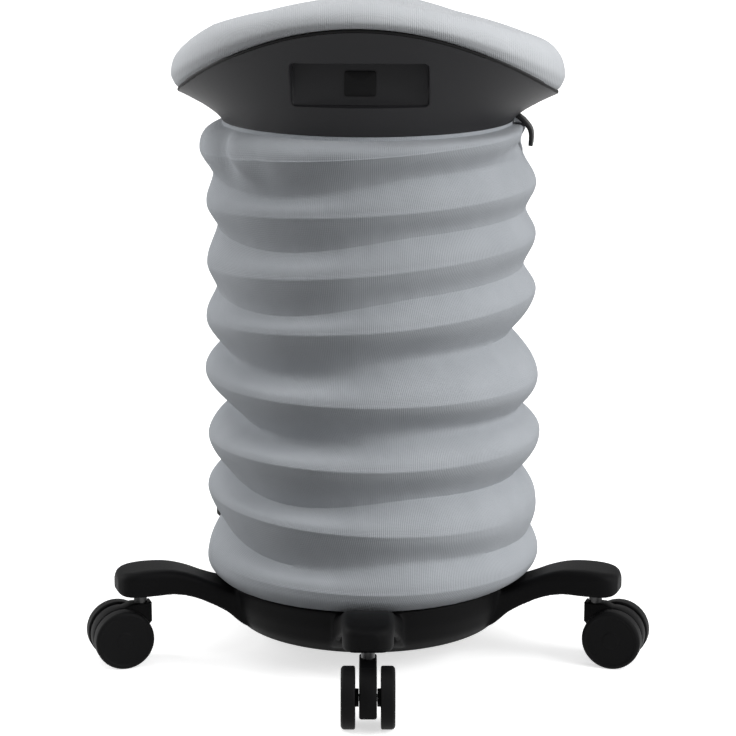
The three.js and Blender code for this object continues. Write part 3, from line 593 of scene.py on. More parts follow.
def noise(
    tree: bpy.types.NodeTree, vector: bpy.types.NodeSocket, scale: object, detail: float = 2.0
) -> bpy.types.NodeSocket:
    """A noise texture between 0 and 1.

    Args:
        tree: the tree it is made in.
        vector: where it is read.
        scale: its scale, a socket or a number.
        detail: its octaves.

    Returns:
        The node's value.
    """
    made = tree.nodes.new("ShaderNodeTexNoise")
    made.inputs["Detail"].default_value = detail
    tree.links.new(vector, made.inputs["Vector"])
    if isinstance(scale, bpy.types.NodeSocket):
        tree.links.new(scale, made.inputs["Scale"])
    else:
        made.inputs["Scale"].default_value = scale
    return made.outputs[0]


class Effects:
    """The shader node groups that several finishes share."""

    def __init__(self) -> None:
        """Builds each group once."""
        self.grain = self._grain()
        self.knit = self._knit()
        self.brushing = self._brushing()

    @staticmethod
    def _grain() -> bpy.types.NodeTree:
        """Fine moulded grain, with broad patches where handling has changed the gloss."""
        tree, source, result = node_group(
            "moulded_grain",
            {"Vector": "NodeSocketVector", "Grain": "NodeSocketFloat", "Patch": "NodeSocketFloat"},
            {"Height": "NodeSocketFloat", "Mask": "NodeSocketFloat"},
        )
        where = source.outputs["Vector"]
        fine = noise(tree, where, source.outputs["Grain"], 3.0)
        broad = noise(tree, where, source.outputs["Patch"], 3.0)
        dust = noise(tree, where, 900.0, 1.0)
        mask = maths(tree, "MULTIPLY_ADD", dust, 0.35, maths(tree, "MULTIPLY", broad, 0.65))
        tree.links.new(fine, result.inputs["Height"])
        tree.links.new(mask, result.inputs["Mask"])
        return tree

    @staticmethod
    def _knit() -> bpy.types.NodeTree:
        """Knitted cloth on a map in metres: wales, courses and a heather of two yarns."""
        tree, source, result = node_group(
            "knit_cloth",
            {"Vector": "NodeSocketVector", "Pitch": "NodeSocketFloat"},
            {"Height": "NodeSocketFloat", "Heather": "NodeSocketFloat"},
        )
        split = tree.nodes.new("ShaderNodeSeparateXYZ")
        tree.links.new(source.outputs["Vector"], split.inputs[0])
        turns = maths(tree, "DIVIDE", 2 * math.pi, source.outputs["Pitch"])
        across = maths(tree, "MULTIPLY", split.outputs["X"], turns)
        along = maths(tree, "MULTIPLY", split.outputs["Y"], turns)
        wale = maths(tree, "ABSOLUTE", maths(tree, "SINE", maths(tree, "MULTIPLY", across, 0.5)))
        leg = maths(tree, "MULTIPLY", maths(tree, "COSINE", across), 1.1)
        course = maths(tree, "SINE", maths(tree, "ADD", maths(tree, "MULTIPLY", along, 1.3), leg))
        height = maths(tree, "MULTIPLY_ADD", course, 0.25, wale)
        tree.links.new(height, result.inputs["Height"])
        yarn = noise(tree, source.outputs["Vector"], 1500.0, 2.0)
        cloud = noise(tree, source.outputs["Vector"], 28.0, 3.0)
        heather = maths(tree, "MULTIPLY_ADD", cloud, 0.45, maths(tree, "MULTIPLY", yarn, 0.55))
        tree.links.new(heather, result.inputs["Heather"])
        return tree

    @staticmethod
    def _brushing() -> bpy.types.NodeTree:
        """Turning marks on metal, round the Z axis, with faint smears of grease."""
        tree, source, result = node_group(
            "turned_metal",
            {"Vector": "NodeSocketVector"},
            {"Height": "NodeSocketFloat", "Smear": "NodeSocketFloat"},
        )
        stretch = tree.nodes.new("ShaderNodeVectorMath")
        stretch.operation = "MULTIPLY"
        stretch.inputs[1].default_value = (30.0, 30.0, 4000.0)
        tree.links.new(source.outputs["Vector"], stretch.inputs[0])
        lines = noise(tree, stretch.outputs[0], 1.0, 2.0)
        smear = noise(tree, source.outputs["Vector"], 60.0, 3.0)
        tree.links.new(lines, result.inputs["Height"])
        tree.links.new(smear, result.inputs["Smear"])
        return tree


@dataclass(frozen=True)
class Finish:
    """A procedural finish: what a surface looks like and how it is lit.

    Attributes:
        dark: the base colour where the mask is 0.
        light: the base colour where the mask is 1.
        rough: roughness at both ends of the mask.
        bump: depth of the relief in metres.
    """

    dark: Colour
    light: Colour
    rough: tuple[float, float]
    bump: float
    metallic: float = 0.0
    specular: float = 0.5
    coat: float = 0.0
    sheen: float = 0.0
    sheen_rough: float = 0.4

    def relief(
        self, tree: bpy.types.NodeTree, effects: Effects
    ) -> tuple[bpy.types.NodeSocket, bpy.types.NodeSocket]:
        """The height and mask that this finish reads."""
        raise NotImplementedError

    def build(self, name: str, effects: Effects) -> bpy.types.Material:
        """Makes the material.

        Args:
            name: the material's name.
            effects: the shared node groups.

        Returns:
            The new material.
        """
        made = bpy.data.materials.new(name)
        made.use_nodes = True
        tree = made.node_tree
        shader = tree.nodes["Principled BSDF"]
        height, mask = self.relief(tree, effects)
        blend = tree.nodes.new("ShaderNodeMix")
        blend.data_type = "RGBA"
        colour_in = [s for s in blend.inputs if s.type == "RGBA"]
        colour_in[0].default_value = (*self.dark, 1)
        colour_in[1].default_value = (*self.light, 1)
        tree.links.new(mask, blend.inputs["Factor"])
        colour_out = next(s for s in blend.outputs if s.type == "RGBA")
        tree.links.new(colour_out, shader.inputs["Base Color"])
        spread = tree.nodes.new("ShaderNodeMapRange")
        spread.inputs["To Min"].default_value, spread.inputs["To Max"].default_value = self.rough
        tree.links.new(mask, spread.inputs["Value"])
        tree.links.new(spread.outputs["Result"], shader.inputs["Roughness"])
        bump = tree.nodes.new("ShaderNodeBump")
        bump.inputs["Distance"].default_value = self.bump
        tree.links.new(height, bump.inputs["Height"])
        tree.links.new(bump.outputs["Normal"], shader.inputs["Normal"])
        shader.inputs["Metallic"].default_value = self.metallic
        shader.inputs["Specular IOR Level"].default_value = self.specular
        shader.inputs["Coat Weight"].default_value = self.coat
        shader.inputs["Sheen Weight"].default_value = self.sheen
        shader.inputs["Sheen Roughness"].default_value = self.sheen_rough
        return made


def grouped(
    tree: bpy.types.NodeTree, group: bpy.types.NodeTree, source: str, **values: float
) -> bpy.types.Node:
    """Places a shared group in a material and feeds it texture coordinates.

    Args:
        tree: the material's tree.
        group: the shared group.
        source: which output of Texture Coordinate feeds it.
        values: its other inputs.

    Returns:
        The group node.
    """
    made = tree.nodes.new("ShaderNodeGroup")
    made.node_tree = group
    where = tree.nodes.new("ShaderNodeTexCoord")
    tree.links.new(where.outputs[source], made.inputs["Vector"])
    for label, value in values.items():
        made.inputs[label].default_value = value
    return made


@dataclass(frozen=True)
class Moulded(Finish):
    """Moulded plastic or rubber with a fine grain."""

    grain: float = 1400.0
    patch: float = 9.0

    def relief(
        self, tree: bpy.types.NodeTree, effects: Effects
    ) -> tuple[bpy.types.NodeSocket, bpy.types.NodeSocket]:
        """Grain for the height and worn patches for the mask."""
        made = grouped(tree, effects.grain, "Object", Grain=self.grain, Patch=self.patch)
        return made.outputs["Height"], made.outputs["Mask"]


@dataclass(frozen=True)
class Knitted(Finish):
    """Knitted cloth laid on the piece's own map."""

    pitch: float = 0.0016

    def relief(
        self, tree: bpy.types.NodeTree, effects: Effects
    ) -> tuple[bpy.types.NodeSocket, bpy.types.NodeSocket]:
        """Loops for the height and heather for the mask."""
        made = grouped(tree, effects.knit, "UV", Pitch=self.pitch)
        return made.outputs["Height"], made.outputs["Heather"]


@dataclass(frozen=True)
class TurnedMetal(Finish):
    """Metal with turning marks."""

    def relief(
        self, tree: bpy.types.NodeTree, effects: Effects
    ) -> tuple[bpy.types.NodeSocket, bpy.types.NodeSocket]:
        """Turning marks for the height and smears for the mask."""
        made = grouped(tree, effects.brushing, "Object")
        return made.outputs["Height"], made.outputs["Smear"]


@dataclass(frozen=True)
class Palette:
    """Every finish on the stool."""

    knit: Finish = Knitted(
        (0.352, 0.374, 0.402),
        (0.525, 0.55, 0.583),
        (0.88, 0.96),
        0.00025,
        sheen=0.08,
        specular=0.12,
    )
    cushion_knit: Finish = Knitted(
        (0.51, 0.53, 0.553), (0.69, 0.71, 0.737), (0.86, 0.95), 0.00022, sheen=0.1, specular=0.12
    )
    shell: Finish = Moulded(
        (0.014, 0.014, 0.0155),
        (0.023, 0.023, 0.025),
        (0.44, 0.58),
        0.00006,
        specular=0.18,
        grain=1500.0,
    )
    label: Finish = Moulded(
        (0.003, 0.003, 0.0035),
        (0.006, 0.006, 0.0065),
        (0.45, 0.55),
        0.00002,
        specular=0.1,
        grain=2500.0,
    )
    nylon: Finish = Moulded(
        (0.0015, 0.0015, 0.0017),
        (0.0035, 0.0035, 0.0038),
        (0.48, 0.62),
        0.00007,
        specular=0.06,
        grain=1100.0,
    )
    wheel: Finish = Moulded(
        (0.002, 0.002, 0.0022),
        (0.0045, 0.0045, 0.0048),
        (0.5, 0.64),
        0.00004,
        specular=0.08,
        grain=1600.0,
    )
    rubber: Finish = Moulded(
        (0.005, 0.005, 0.005),
        (0.009, 0.009, 0.0095),
        (0.65, 0.85),
        0.00008,
        specular=0.15,
        grain=900.0,
    )
    grey_plastic: Finish = Moulded(
        (0.16, 0.16, 0.165), (0.22, 0.22, 0.225), (0.4, 0.55), 0.00005, grain=1300.0
    )
    steel: Finish = TurnedMetal(
        (0.48, 0.48, 0.49), (0.62, 0.62, 0.63), (0.2, 0.34), 0.00002, metallic=1.0
    )
    black_steel: Finish = TurnedMetal(
        (0.012, 0.012, 0.013), (0.022, 0.022, 0.023), (0.35, 0.5), 0.00003, coat=0.2
    )
    lever: Finish = TurnedMetal(
        (0.003, 0.003, 0.0035), (0.007, 0.007, 0.0075), (0.42, 0.55), 0.00003, specular=0.2
    )
    plywood: Finish = Moulded(
        (0.42, 0.27, 0.15), (0.62, 0.43, 0.26), (0.55, 0.75), 0.00012, grain=260.0, patch=35.0
    )
    foam: Finish = Moulded(
        (0.62, 0.58, 0.46), (0.74, 0.71, 0.6), (0.85, 0.95), 0.0006, grain=520.0, patch=14.0
    )

    def materials(self) -> dict[str, bpy.types.Material]:
        """Builds every finish once.

        Returns:
            The materials by the names of their fields.
        """
        effects = Effects()
        return {name: getattr(self, name).build(name, effects) for name in self.__annotations__}


# The sleeve


@dataclass
class Sleeve:
    """The ribbed knit sleeve round the column, from the base's bowl up to the seat shell.

    Rows of the ribs are a share of the span, a lean as a share of the rib spacing, how deep they
    lie as a share of the fold, and how far they sit sideways as a share of the fold.

    Between a rib and a valley, crowding draws the rows towards the rib, and the keen power and
    shares set how sharply full and small ribs fall in. The rounds, a power and a share, say the
    same of the front and back. A wave is a depth, a number of turns, a climb and a phase, and a
    pleat is an angle, a depth and a width in degrees.
    """

    foot: float = 0.0650
    top: float = 0.4547
    radius: float = 0.142
    fold: float = 0.017
    spacing: float = 0.0487
    foot_hem: float = 0.1303
    top_hem: float = 0.1217
    wall: float = 0.0016
    columns: int = 180
    full_bulges: int = 4
    half_steps: int = 15
    foot_steps: int = 9
    foot_flare: float = 2.4
    collar_steps: int = 10
    collar_powers: tuple[float, float, float] = (1.7, 1.3, 2.2)
    crowding: float = 1.5
    keen_power: float = 2.1
    keen_shares: tuple[float, float] = (0.8, 0.25)
    rising_round: tuple[float, float] = (1.2, 0.2)
    falling_round: tuple[float, float] = (1.9, 0.7)
    small_rib_sag: float = 0.8
    lower_halves: int = 9
    middle_halves: int = 2
    sag_depth: float = 0.0125
    sag_angle: float = math.radians(-122)
    sag_half_width: float = math.radians(58)
    hoop_height: float = 0.0007
    hoop_half_width: float = 0.0019
    ridges: tuple[tuple[float, float, float, float], ...] = (
        (0.0455, -0.03, 0.0, 0.26),
        (0.174, -0.11, 0.05, 0.235),
        (0.312, 0.0, 0.02, 0.25),
        (0.448, 0.0, 0.04, 0.23),
        (0.603, 0.22, 0.16, 0.14),
        (0.721, 0.255, 0.2, 0.14),
        (0.844, 0.185, 0.22, 0.165),
        (0.963, 0.2, 0.1, 0.0),
    )
    valleys: tuple[tuple[float, float, float, float], ...] = (
        (0.112, -0.11, 0.64, 0.46),
        (0.243, -0.055, 1.02, 0.26),
        (0.38, -0.055, 1.3, 0.46),
        (0.53, 0.1, 1.28, -0.05),
        (0.662, 0.195, 0.74, 0.09),
        (0.792, 0.14, 0.75, 0.17),
        (0.908, 0.175, 0.74, 0.0),
    )
    hem_height: float = 0.003
    hem_ease: float = 0.012
    slack_from: float = 0.124
    slack_over: float = 0.016
    waves: tuple[tuple[float, int, float, float], ...] = (
        (0.0006, 3, 41, 0.0),
        (0.00045, 5, -63, 1.3),
    )
    gathers: tuple[float, int, float] = (0.00022, 38, 90)
    dent_depth: float = 0.009
    dent_half_width: float = math.radians(34)
    dent_angle: float = math.radians(-6)
    pleats: tuple[tuple[float, float, float], ...] = (
        (-158.0, 0.0022, 4.5),
        (-146.5, -0.0060, 4.5),
        (-137.0, 0.0030, 4.0),
        (-128.0, -0.0028, 5.0),
        (-17.0, 0.0020, 5.0),
    )
    pleat_foot: float = 0.35
    pleat_eases: tuple[float, float] = (0.7, 0.25)
    pleat_slant: float = 10.0

    def _last_valley(self) -> float:
        """Height of the highest valley."""
        return self.foot + (self.top - self.foot) * self.valleys[-1][0]

    def _plain_row(self, row: tuple[float, ...]) -> tuple[float, ...]:
        """A row of the ribs or valleys in metres."""
        span = self.top - self.foot
        return (
            self.foot + span * row[0],
            self.spacing * row[1],
            self.radius - self.fold * row[2],
            self.fold * row[3],
        )

    def _foot_rows(self, first: tuple[float, ...]) -> list[tuple[float, ...]]:
        """Rows from the hem in the bowl up to the first rib."""
        rows = []
        for step in range(self.foot_steps):
            t = 1 - step / self.foot_steps
            rows.append(
                (
                    mix(first[0], self.foot, t),
                    first[1] * (1 - t),
                    mix(first[2], self.foot_hem, t**self.foot_flare),
                    first[3] * (1 - t),
                    0.0,
                    0.0,
                    0.0,
                )
            )
        return rows

    def _half_rib(
        self, a: tuple[float, ...], b: tuple[float, ...], rising: bool, full: bool
    ) -> list[tuple[float, ...]]:
        """Rows between a rib and a valley, closer together towards the rib."""
        power, roundness = self.rising_round if rising else self.falling_round
        keenness = self.keen_shares[0] if full else self.keen_shares[1]
        peak, pit = (b, a) if rising else (a, b)
        rows = []
        for step in range(self.half_steps):
            even = step / self.half_steps
            share = 1 - (1 - even) ** self.crowding if rising else even**self.crowding
            t = 1 - share if rising else share
            soft = (1 - math.cos(math.pi * t)) / 2
            keen = mix(soft, t**self.keen_power, keenness)
            round_depth = mix(soft, t**power, roundness)
            height = mix(a[0], b[0], share)
            away = (height - peak[0]) / self.hoop_half_width
            rows.append(
                (
                    height,
                    mix(a[1], b[1], share),
                    mix(peak[2], pit[2], keen),
                    mix(a[3], b[3], share),
                    soft if full else self.small_rib_sag * soft,
                    math.exp(-away * away),
                    (pit[2] - peak[2]) * (round_depth - keen),
                )
            )
        return rows

    def _collar_rows(self, last: tuple[float, ...]) -> list[tuple[float, ...]]:
        """Rows from the last rib up over the top ring."""
        collar = self.top - self.hem_height
        rise, lean, draw = self.collar_powers
        rows = []
        for step in range(self.collar_steps + 1):
            t = step / self.collar_steps
            rows.append(
                (
                    mix(last[0], collar, 1 - (1 - t) ** rise),
                    last[1] * (1 - t) ** lean,
                    mix(last[2], self.top_hem, t**draw),
                    last[3] * (1 - t),
                    0.0,
                    0.0,
                    0.0,
                )
            )
        rows.append((self.top, 0.0, self.top_hem, 0.0, 0.0, 0.0, 0.0))
        return rows

    def profile(self) -> list[tuple[float, ...]]:
        """Fine rows up the sleeve between the two hems.

        Returns:
            Height, lean, radius, sideways shift, sag share, hoop share and how much farther out
            the cloth lies at the front of each row.
        """
        ridges = [self._plain_row(row) for row in self.ridges]
        valleys = [self._plain_row(row) for row in self.valleys]
        rows = self._foot_rows(ridges[0])
        for i, ridge in enumerate(ridges[:-1]):
            full = i < self.full_bulges
            rows += self._half_rib(ridge, valleys[i], False, full)
            rows += self._half_rib(valleys[i], ridges[i + 1], True, full)
        return rows + self._collar_rows(ridges[-1])

    def _sag(self, theta: float) -> float:
        """How far the cloth sags at an angle; it hangs lowest at the front left."""
        return hump(wrapped(theta - self.sag_angle), self.sag_half_width) * self.sag_depth

    def _creases(self, theta: float, height: float, radius: float) -> float:
        """How far small folds move the cloth out at a place on the sleeve."""
        upper = self._last_valley()
        rise = (height - upper) / (self.top - upper)
        moved = 0.0
        if rise > -self.pleat_foot:
            grow, fade = self.pleat_eases
            strength = smooth_step((rise + self.pleat_foot) / grow)
            strength *= smooth_step((1 - rise) / fade)
            for degrees, depth, width in self.pleats:
                away = math.degrees(theta) - degrees + self.pleat_slant * (rise - 0.5)
                moved += strength * depth * math.exp(-((away / width) ** 2))
        slack = min(max((radius - self.slack_from) / self.slack_over, 0.0), 1.0)
        for depth, turns, climb, phase in self.waves:
            moved += depth * slack * math.sin(turns * theta + climb * height + phase)
        depth, turns, climb = self.gathers
        return moved + depth * (1 - slack) * math.sin(turns * theta + climb * height)

    def _dent(self, theta: float, height: float) -> float:
        """How far the lever presses the sleeve in at a place."""
        rise = smooth_step((height - self._last_valley()) / self.hem_ease)
        side = hump(wrapped(theta - self.dent_angle), self.dent_half_width)
        return self.dent_depth * side * rise

    def wall_points(self, rows: Sequence[tuple[float, ...]], inset: float) -> np.ndarray:
        """Points of one face of the wall.

        Args:
            rows: rows of profile().
            inset: how far inside the outer face it lies.

        Returns:
            Rows of points in column coordinates.
        """
        angles = ring_angles(self.columns)
        rings = []
        sags = [self._sag(theta) for theta in angles]
        ahead = [math.sin(theta) ** 2 for theta in angles]
        for height, lean, radius, shift, sag, hoop, rounder in rows:
            ring = []
            for theta, droop, front in zip(angles, sags, ahead):
                z = height + lean * math.cos(theta) - sag * droop
                signed = wrapped(theta)
                out = radius + self._creases(signed, z, radius) - self._dent(signed, height)
                out += front * (hoop * self.hoop_height + rounder)
                out = max(out, self.top_hem) - inset
                ring.append((out * math.cos(theta) + shift, out * math.sin(theta), z))
            rings.append(ring)
        return np.array(rings)

    def piece(
        self,
        name: str,
        first: int,
        last: int,
        rows: list[tuple[float, ...]],
        material: bpy.types.Material,
    ) -> bpy.types.Object:
        """One length of the sleeve with both faces of its wall.

        Args:
            name: the piece's name.
            first: its lowest row.
            last: its highest row.
            rows: all rows of profile().
            material: its finish.

        Returns:
            The new object.
        """
        part = rows[first : last + 1]
        outer, inner = self.wall_points(part, 0.0), self.wall_points(part, self.wall)
        rings = np.concatenate([outer, inner[::-1]])
        up = [0.0]
        for a, b in zip(rows[:last], rows[1 : last + 1]):
            up.append(up[-1] + math.hypot(b[0] - a[0], b[2] - a[2]))
        along = up[first : last + 1] + up[first : last + 1][::-1]
        around_cloth = np.linspace(0.0, 2 * math.pi * self.radius, self.columns + 1)
        cloth = np.array([[(u, v) for u in around_cloth] for v in along])
        made = skin(name, rings, loop=True, cloth=cloth)
        return placed(finished(made, material, 50), on_column())

    def build(self, paint: dict[str, bpy.types.Material]) -> list[bpy.types.Object]:
        """Makes the sleeve in three lengths.

        Args:
            paint: the finishes.

        Returns:
            The three pieces, from the foot up.
        """
        rows = self.profile()
        fifth = self.foot_steps + self.half_steps * self.lower_halves
        sixth = fifth + self.half_steps * self.middle_halves
        at = lambda z: (0.0, COLUMN_Y, z)
        spans = (
            ("sleeve_lower", 0, fifth, Body.COLUMN, Body.LIFT, 0.078, 0.305),
            ("sleeve_middle", fifth, sixth, Body.LIFT, Body.GIMBAL, 0.3335, 0.3655),
            ("sleeve_upper", sixth, len(rows) - 1, Body.GIMBAL, Body.SEAT, 0.382, 0.444),
        )
        made = []
        for name, first, last, low, high, start, end in spans:
            obj = self.piece(name, first, last, rows, paint["knit"])
            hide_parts("sleeve")
            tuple(at(start))
            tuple(at(end))
            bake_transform(obj)
            LOG.info("%s: %d faces", name, len(obj.data.polygons))
            made.append(obj)
        return made


# The seat


RIM_SIDE = 0.476
RIM_RISE = 0.0515
RIM_TIP = -0.0125
PAN_MIDDLE = 0.505
PAN_FLAT = 0.072


def rim_height(theta: float) -> float:
    """Height of the shell's rim at an angle of the column's frame.

    Args:
        theta: the angle from +X, in radians.

    Returns:
        The height in metres.
    """
    return RIM_SIDE + RIM_RISE * math.sin(theta) ** 2 + RIM_TIP * math.sin(theta)


def pan_top(radius: float, theta: float) -> float:
    """Height of the plywood pan's top at a radius and an angle."""
    share = max(radius - PAN_FLAT, 0.0) / PAN_FLAT
    return mix(PAN_MIDDLE, rim_height(theta) + 0.0025, share**1.2)


@dataclass
class Cushion:
    """The domed pad: knit cover with its hem under the edge, and the foam in it."""

    # Each of side is a radius and a share of the height from the seam to the top's edge. The
    # hems are radii, or radii with heights over the rim.

    side: tuple[tuple[float, float], ...] = (
        (0.1570, 0.0),
        (0.1609, 0.1),
        (0.1635, 0.33),
        (0.15985, 0.72),
    )
    top_radius: float = 0.149
    top_shares: tuple[float, ...] = (1.0, 0.88, 0.72, 0.54, 0.36, 0.18, 0.012)
    line_steps: int = 6
    least_radius: float = 0.0012
    seam_gap: float = 0.003
    seam_out: float = 0.0004
    seam_lift: float = 1.2
    end_thickness: float = 0.022
    side_thickness: float = 0.046
    crown: float = 0.553
    cover: float = 0.002
    columns: int = 192
    left_drop: float = 0.0055
    left_over: tuple[float, float] = (0.118, 0.03)
    right_drop: float = 0.0035
    right_over: tuple[float, float] = (0.03, 0.04)
    drop_over: tuple[float, float] = (0.008, 0.03)
    swell_depth: float = 0.0007
    ripple_depth: float = 0.00022
    swell_over: tuple[float, float] = (0.158, 0.05)
    hem_gap: float = 0.00035
    hem_over_rim: tuple[tuple[float, float], ...] = (
        (0.1535, 0.0028),
        (0.1485, 0.0027),
        (0.144, 0.00285),
    )
    hem_over_pan: tuple[float, ...] = (0.141, 0.138)
    back_gap: float = 0.0022
    back_over_pan: tuple[float, ...] = (0.138, 0.141, 0.144)
    back_over_rim: tuple[tuple[float, float], ...] = ((0.149, 0.0047), (0.153, 0.0049))
    foam_gap: float = 0.0009
    foam_columns: int = 96
    foam_edge: tuple[float, float] = (0.148, 0.0062)
    foam_middle: float = 0.1
    foam_lift: float = 0.003
    foam_shoulder: tuple[float, ...] = (0.142, 0.136)
    foam_rest: float = 0.0004
    foam_foot: tuple[float, ...] = (0.13, 0.1, 0.07, 0.035, 0.002)
    # The section of the black ring in the seam, whose black paints the shadow gap between the
    # shell and the cover.
    trim: tuple[tuple[float, float, float], ...] = (
        (0.1500, 0.0003, 0.0004),
        (0.1582, 0.0003, 0.0006),
        (0.1582, 0.0025, 0.0009),
        (0.1500, 0.0024, 0.0004),
    )

    def _line(self, theta: float, inset: float) -> list[tuple[float, float]]:
        """The pad's side and top at an angle, from the middle of the crown to the seam."""
        seam = rim_height(theta) + self.seam_gap
        edge = rim_height(theta) + mix(
            self.end_thickness, self.side_thickness, math.cos(theta) ** 2
        )
        knots = [(radius, mix(seam, edge, share)) for radius, share in self.side]
        knots[0] = (knots[0][0] + self.seam_out, knots[0][1] + inset * self.seam_lift)
        for share in self.top_shares:
            knots.append((self.top_radius * share, mix(edge, self.crown, 1 - share * share)))
        line = spline(knots, self.line_steps)[::-1]
        if inset:
            tangents = np.gradient(line, axis=0)
            normals = np.stack([tangents[:, 1], -tangents[:, 0]], axis=1)
            normals /= np.linalg.norm(normals, axis=1, keepdims=True)
            line = line + normals * inset
            line[:, 0] = np.maximum(line[:, 0], self.least_radius)
        return [tuple(p) for p in line]

    def _soften(self, points: np.ndarray) -> np.ndarray:
        """Gives the top the slight unevenness of stretched cloth over foam."""
        x, y = points[..., 0], points[..., 1]
        radius = np.hypot(x, y)
        swell = np.sin(27 * x + 11 * y + 0.6) * np.sin(31 * y - 9 * x) * self.swell_depth
        swell += np.sin(58 * x - 37 * y + 2.1) * self.ripple_depth
        points[..., 2] += swell * np.clip((self.swell_over[0] - radius) / self.swell_over[1], 0, 1)
        theta = np.arctan2(y, x)
        rim = RIM_SIDE + RIM_RISE * np.sin(theta) ** 2 + RIM_TIP * np.sin(theta)
        eased = lambda value, over: np.clip((value - over[0]) / over[1], 0, 1)
        left = self.left_drop * eased(-x, self.left_over)
        right = self.right_drop * eased(x, self.right_over)
        points[..., 2] -= eased(points[..., 2] - rim, self.drop_over) * (left + right)
        return points

    def cover_piece(self, paint: dict[str, bpy.types.Material]) -> bpy.types.Object:
        """The knit cover as a closed skin with its hem turned under."""
        angles = ring_angles(self.columns)
        columns = []
        for theta in angles:
            rim = rim_height(theta)
            hem = [(r, rim + z) for r, z in self.hem_over_rim]
            hem += [(r, pan_top(r, theta) + self.hem_gap) for r in self.hem_over_pan]
            back = [(r, pan_top(r, theta) + self.back_gap) for r in self.back_over_pan]
            back += [(r, rim + z) for r, z in self.back_over_rim]
            columns.append(
                self._line(theta, 0.0) + hem + back + self._line(theta, self.cover)[::-1]
            )
        made = skin("seat_cover_knit", self._soften(ringed(columns, angles)))
        placed(made, on_column())
        quilted_uv(made, 1.0)
        made.data.materials.append(paint["cushion_knit"])
        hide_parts("seat_cover")
        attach(made, Body.SEAT.value)
        return made

    def foam_piece(self, paint: dict[str, bpy.types.Material]) -> bpy.types.Object:
        """The foam, clear of the cover and resting just over the pan."""
        angles = ring_angles(self.foam_columns)
        columns = []
        for theta in angles:
            line = self._line(theta, self.cover + self.foam_gap)
            edge = (self.foam_edge[0], rim_height(theta) + self.foam_edge[1])
            kept = [p for p in line if p[1] > edge[1] or p[0] < self.foam_middle]
            kept += [line[-1]] * (len(line) - len(kept))
            foot = [edge]
            foot += [(r, pan_top(r, theta) + self.foam_lift) for r in self.foam_shoulder]
            foot += [(r, pan_top(r, theta) + self.foam_rest) for r in self.foam_foot]
            columns.append(kept + foot)
        rings = self._soften(ringed(columns, angles))
        made = placed(skin("seat_foam_block", rings), on_column())
        made.data.materials.append(paint["foam"])
        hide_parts("seat_foam")
        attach(made, Body.SEAT.value)
        return made

    def shadow_seam_piece(self, paint: dict[str, bpy.types.Material]) -> bpy.types.Object:
        """A black ring in the seam between the shell and the cover; its black is painted shade
        that stands in for the seam's shadow gap.
        """
        section, angles = rounded(self.trim, steps=3), ring_angles(self.columns)
        rings = ringed([[(r, rim_height(t) + z) for r, z in section] for t in angles], angles)
        made = placed(skin("seam_shadow_trim", rings, loop=True), on_column())
        # The black rubber finish here is painted shade in the seam under the cover.
        finished(made, paint["rubber"], 40)
        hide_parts("edge_trim")
        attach(made, Body.SEAT.value)
        return made


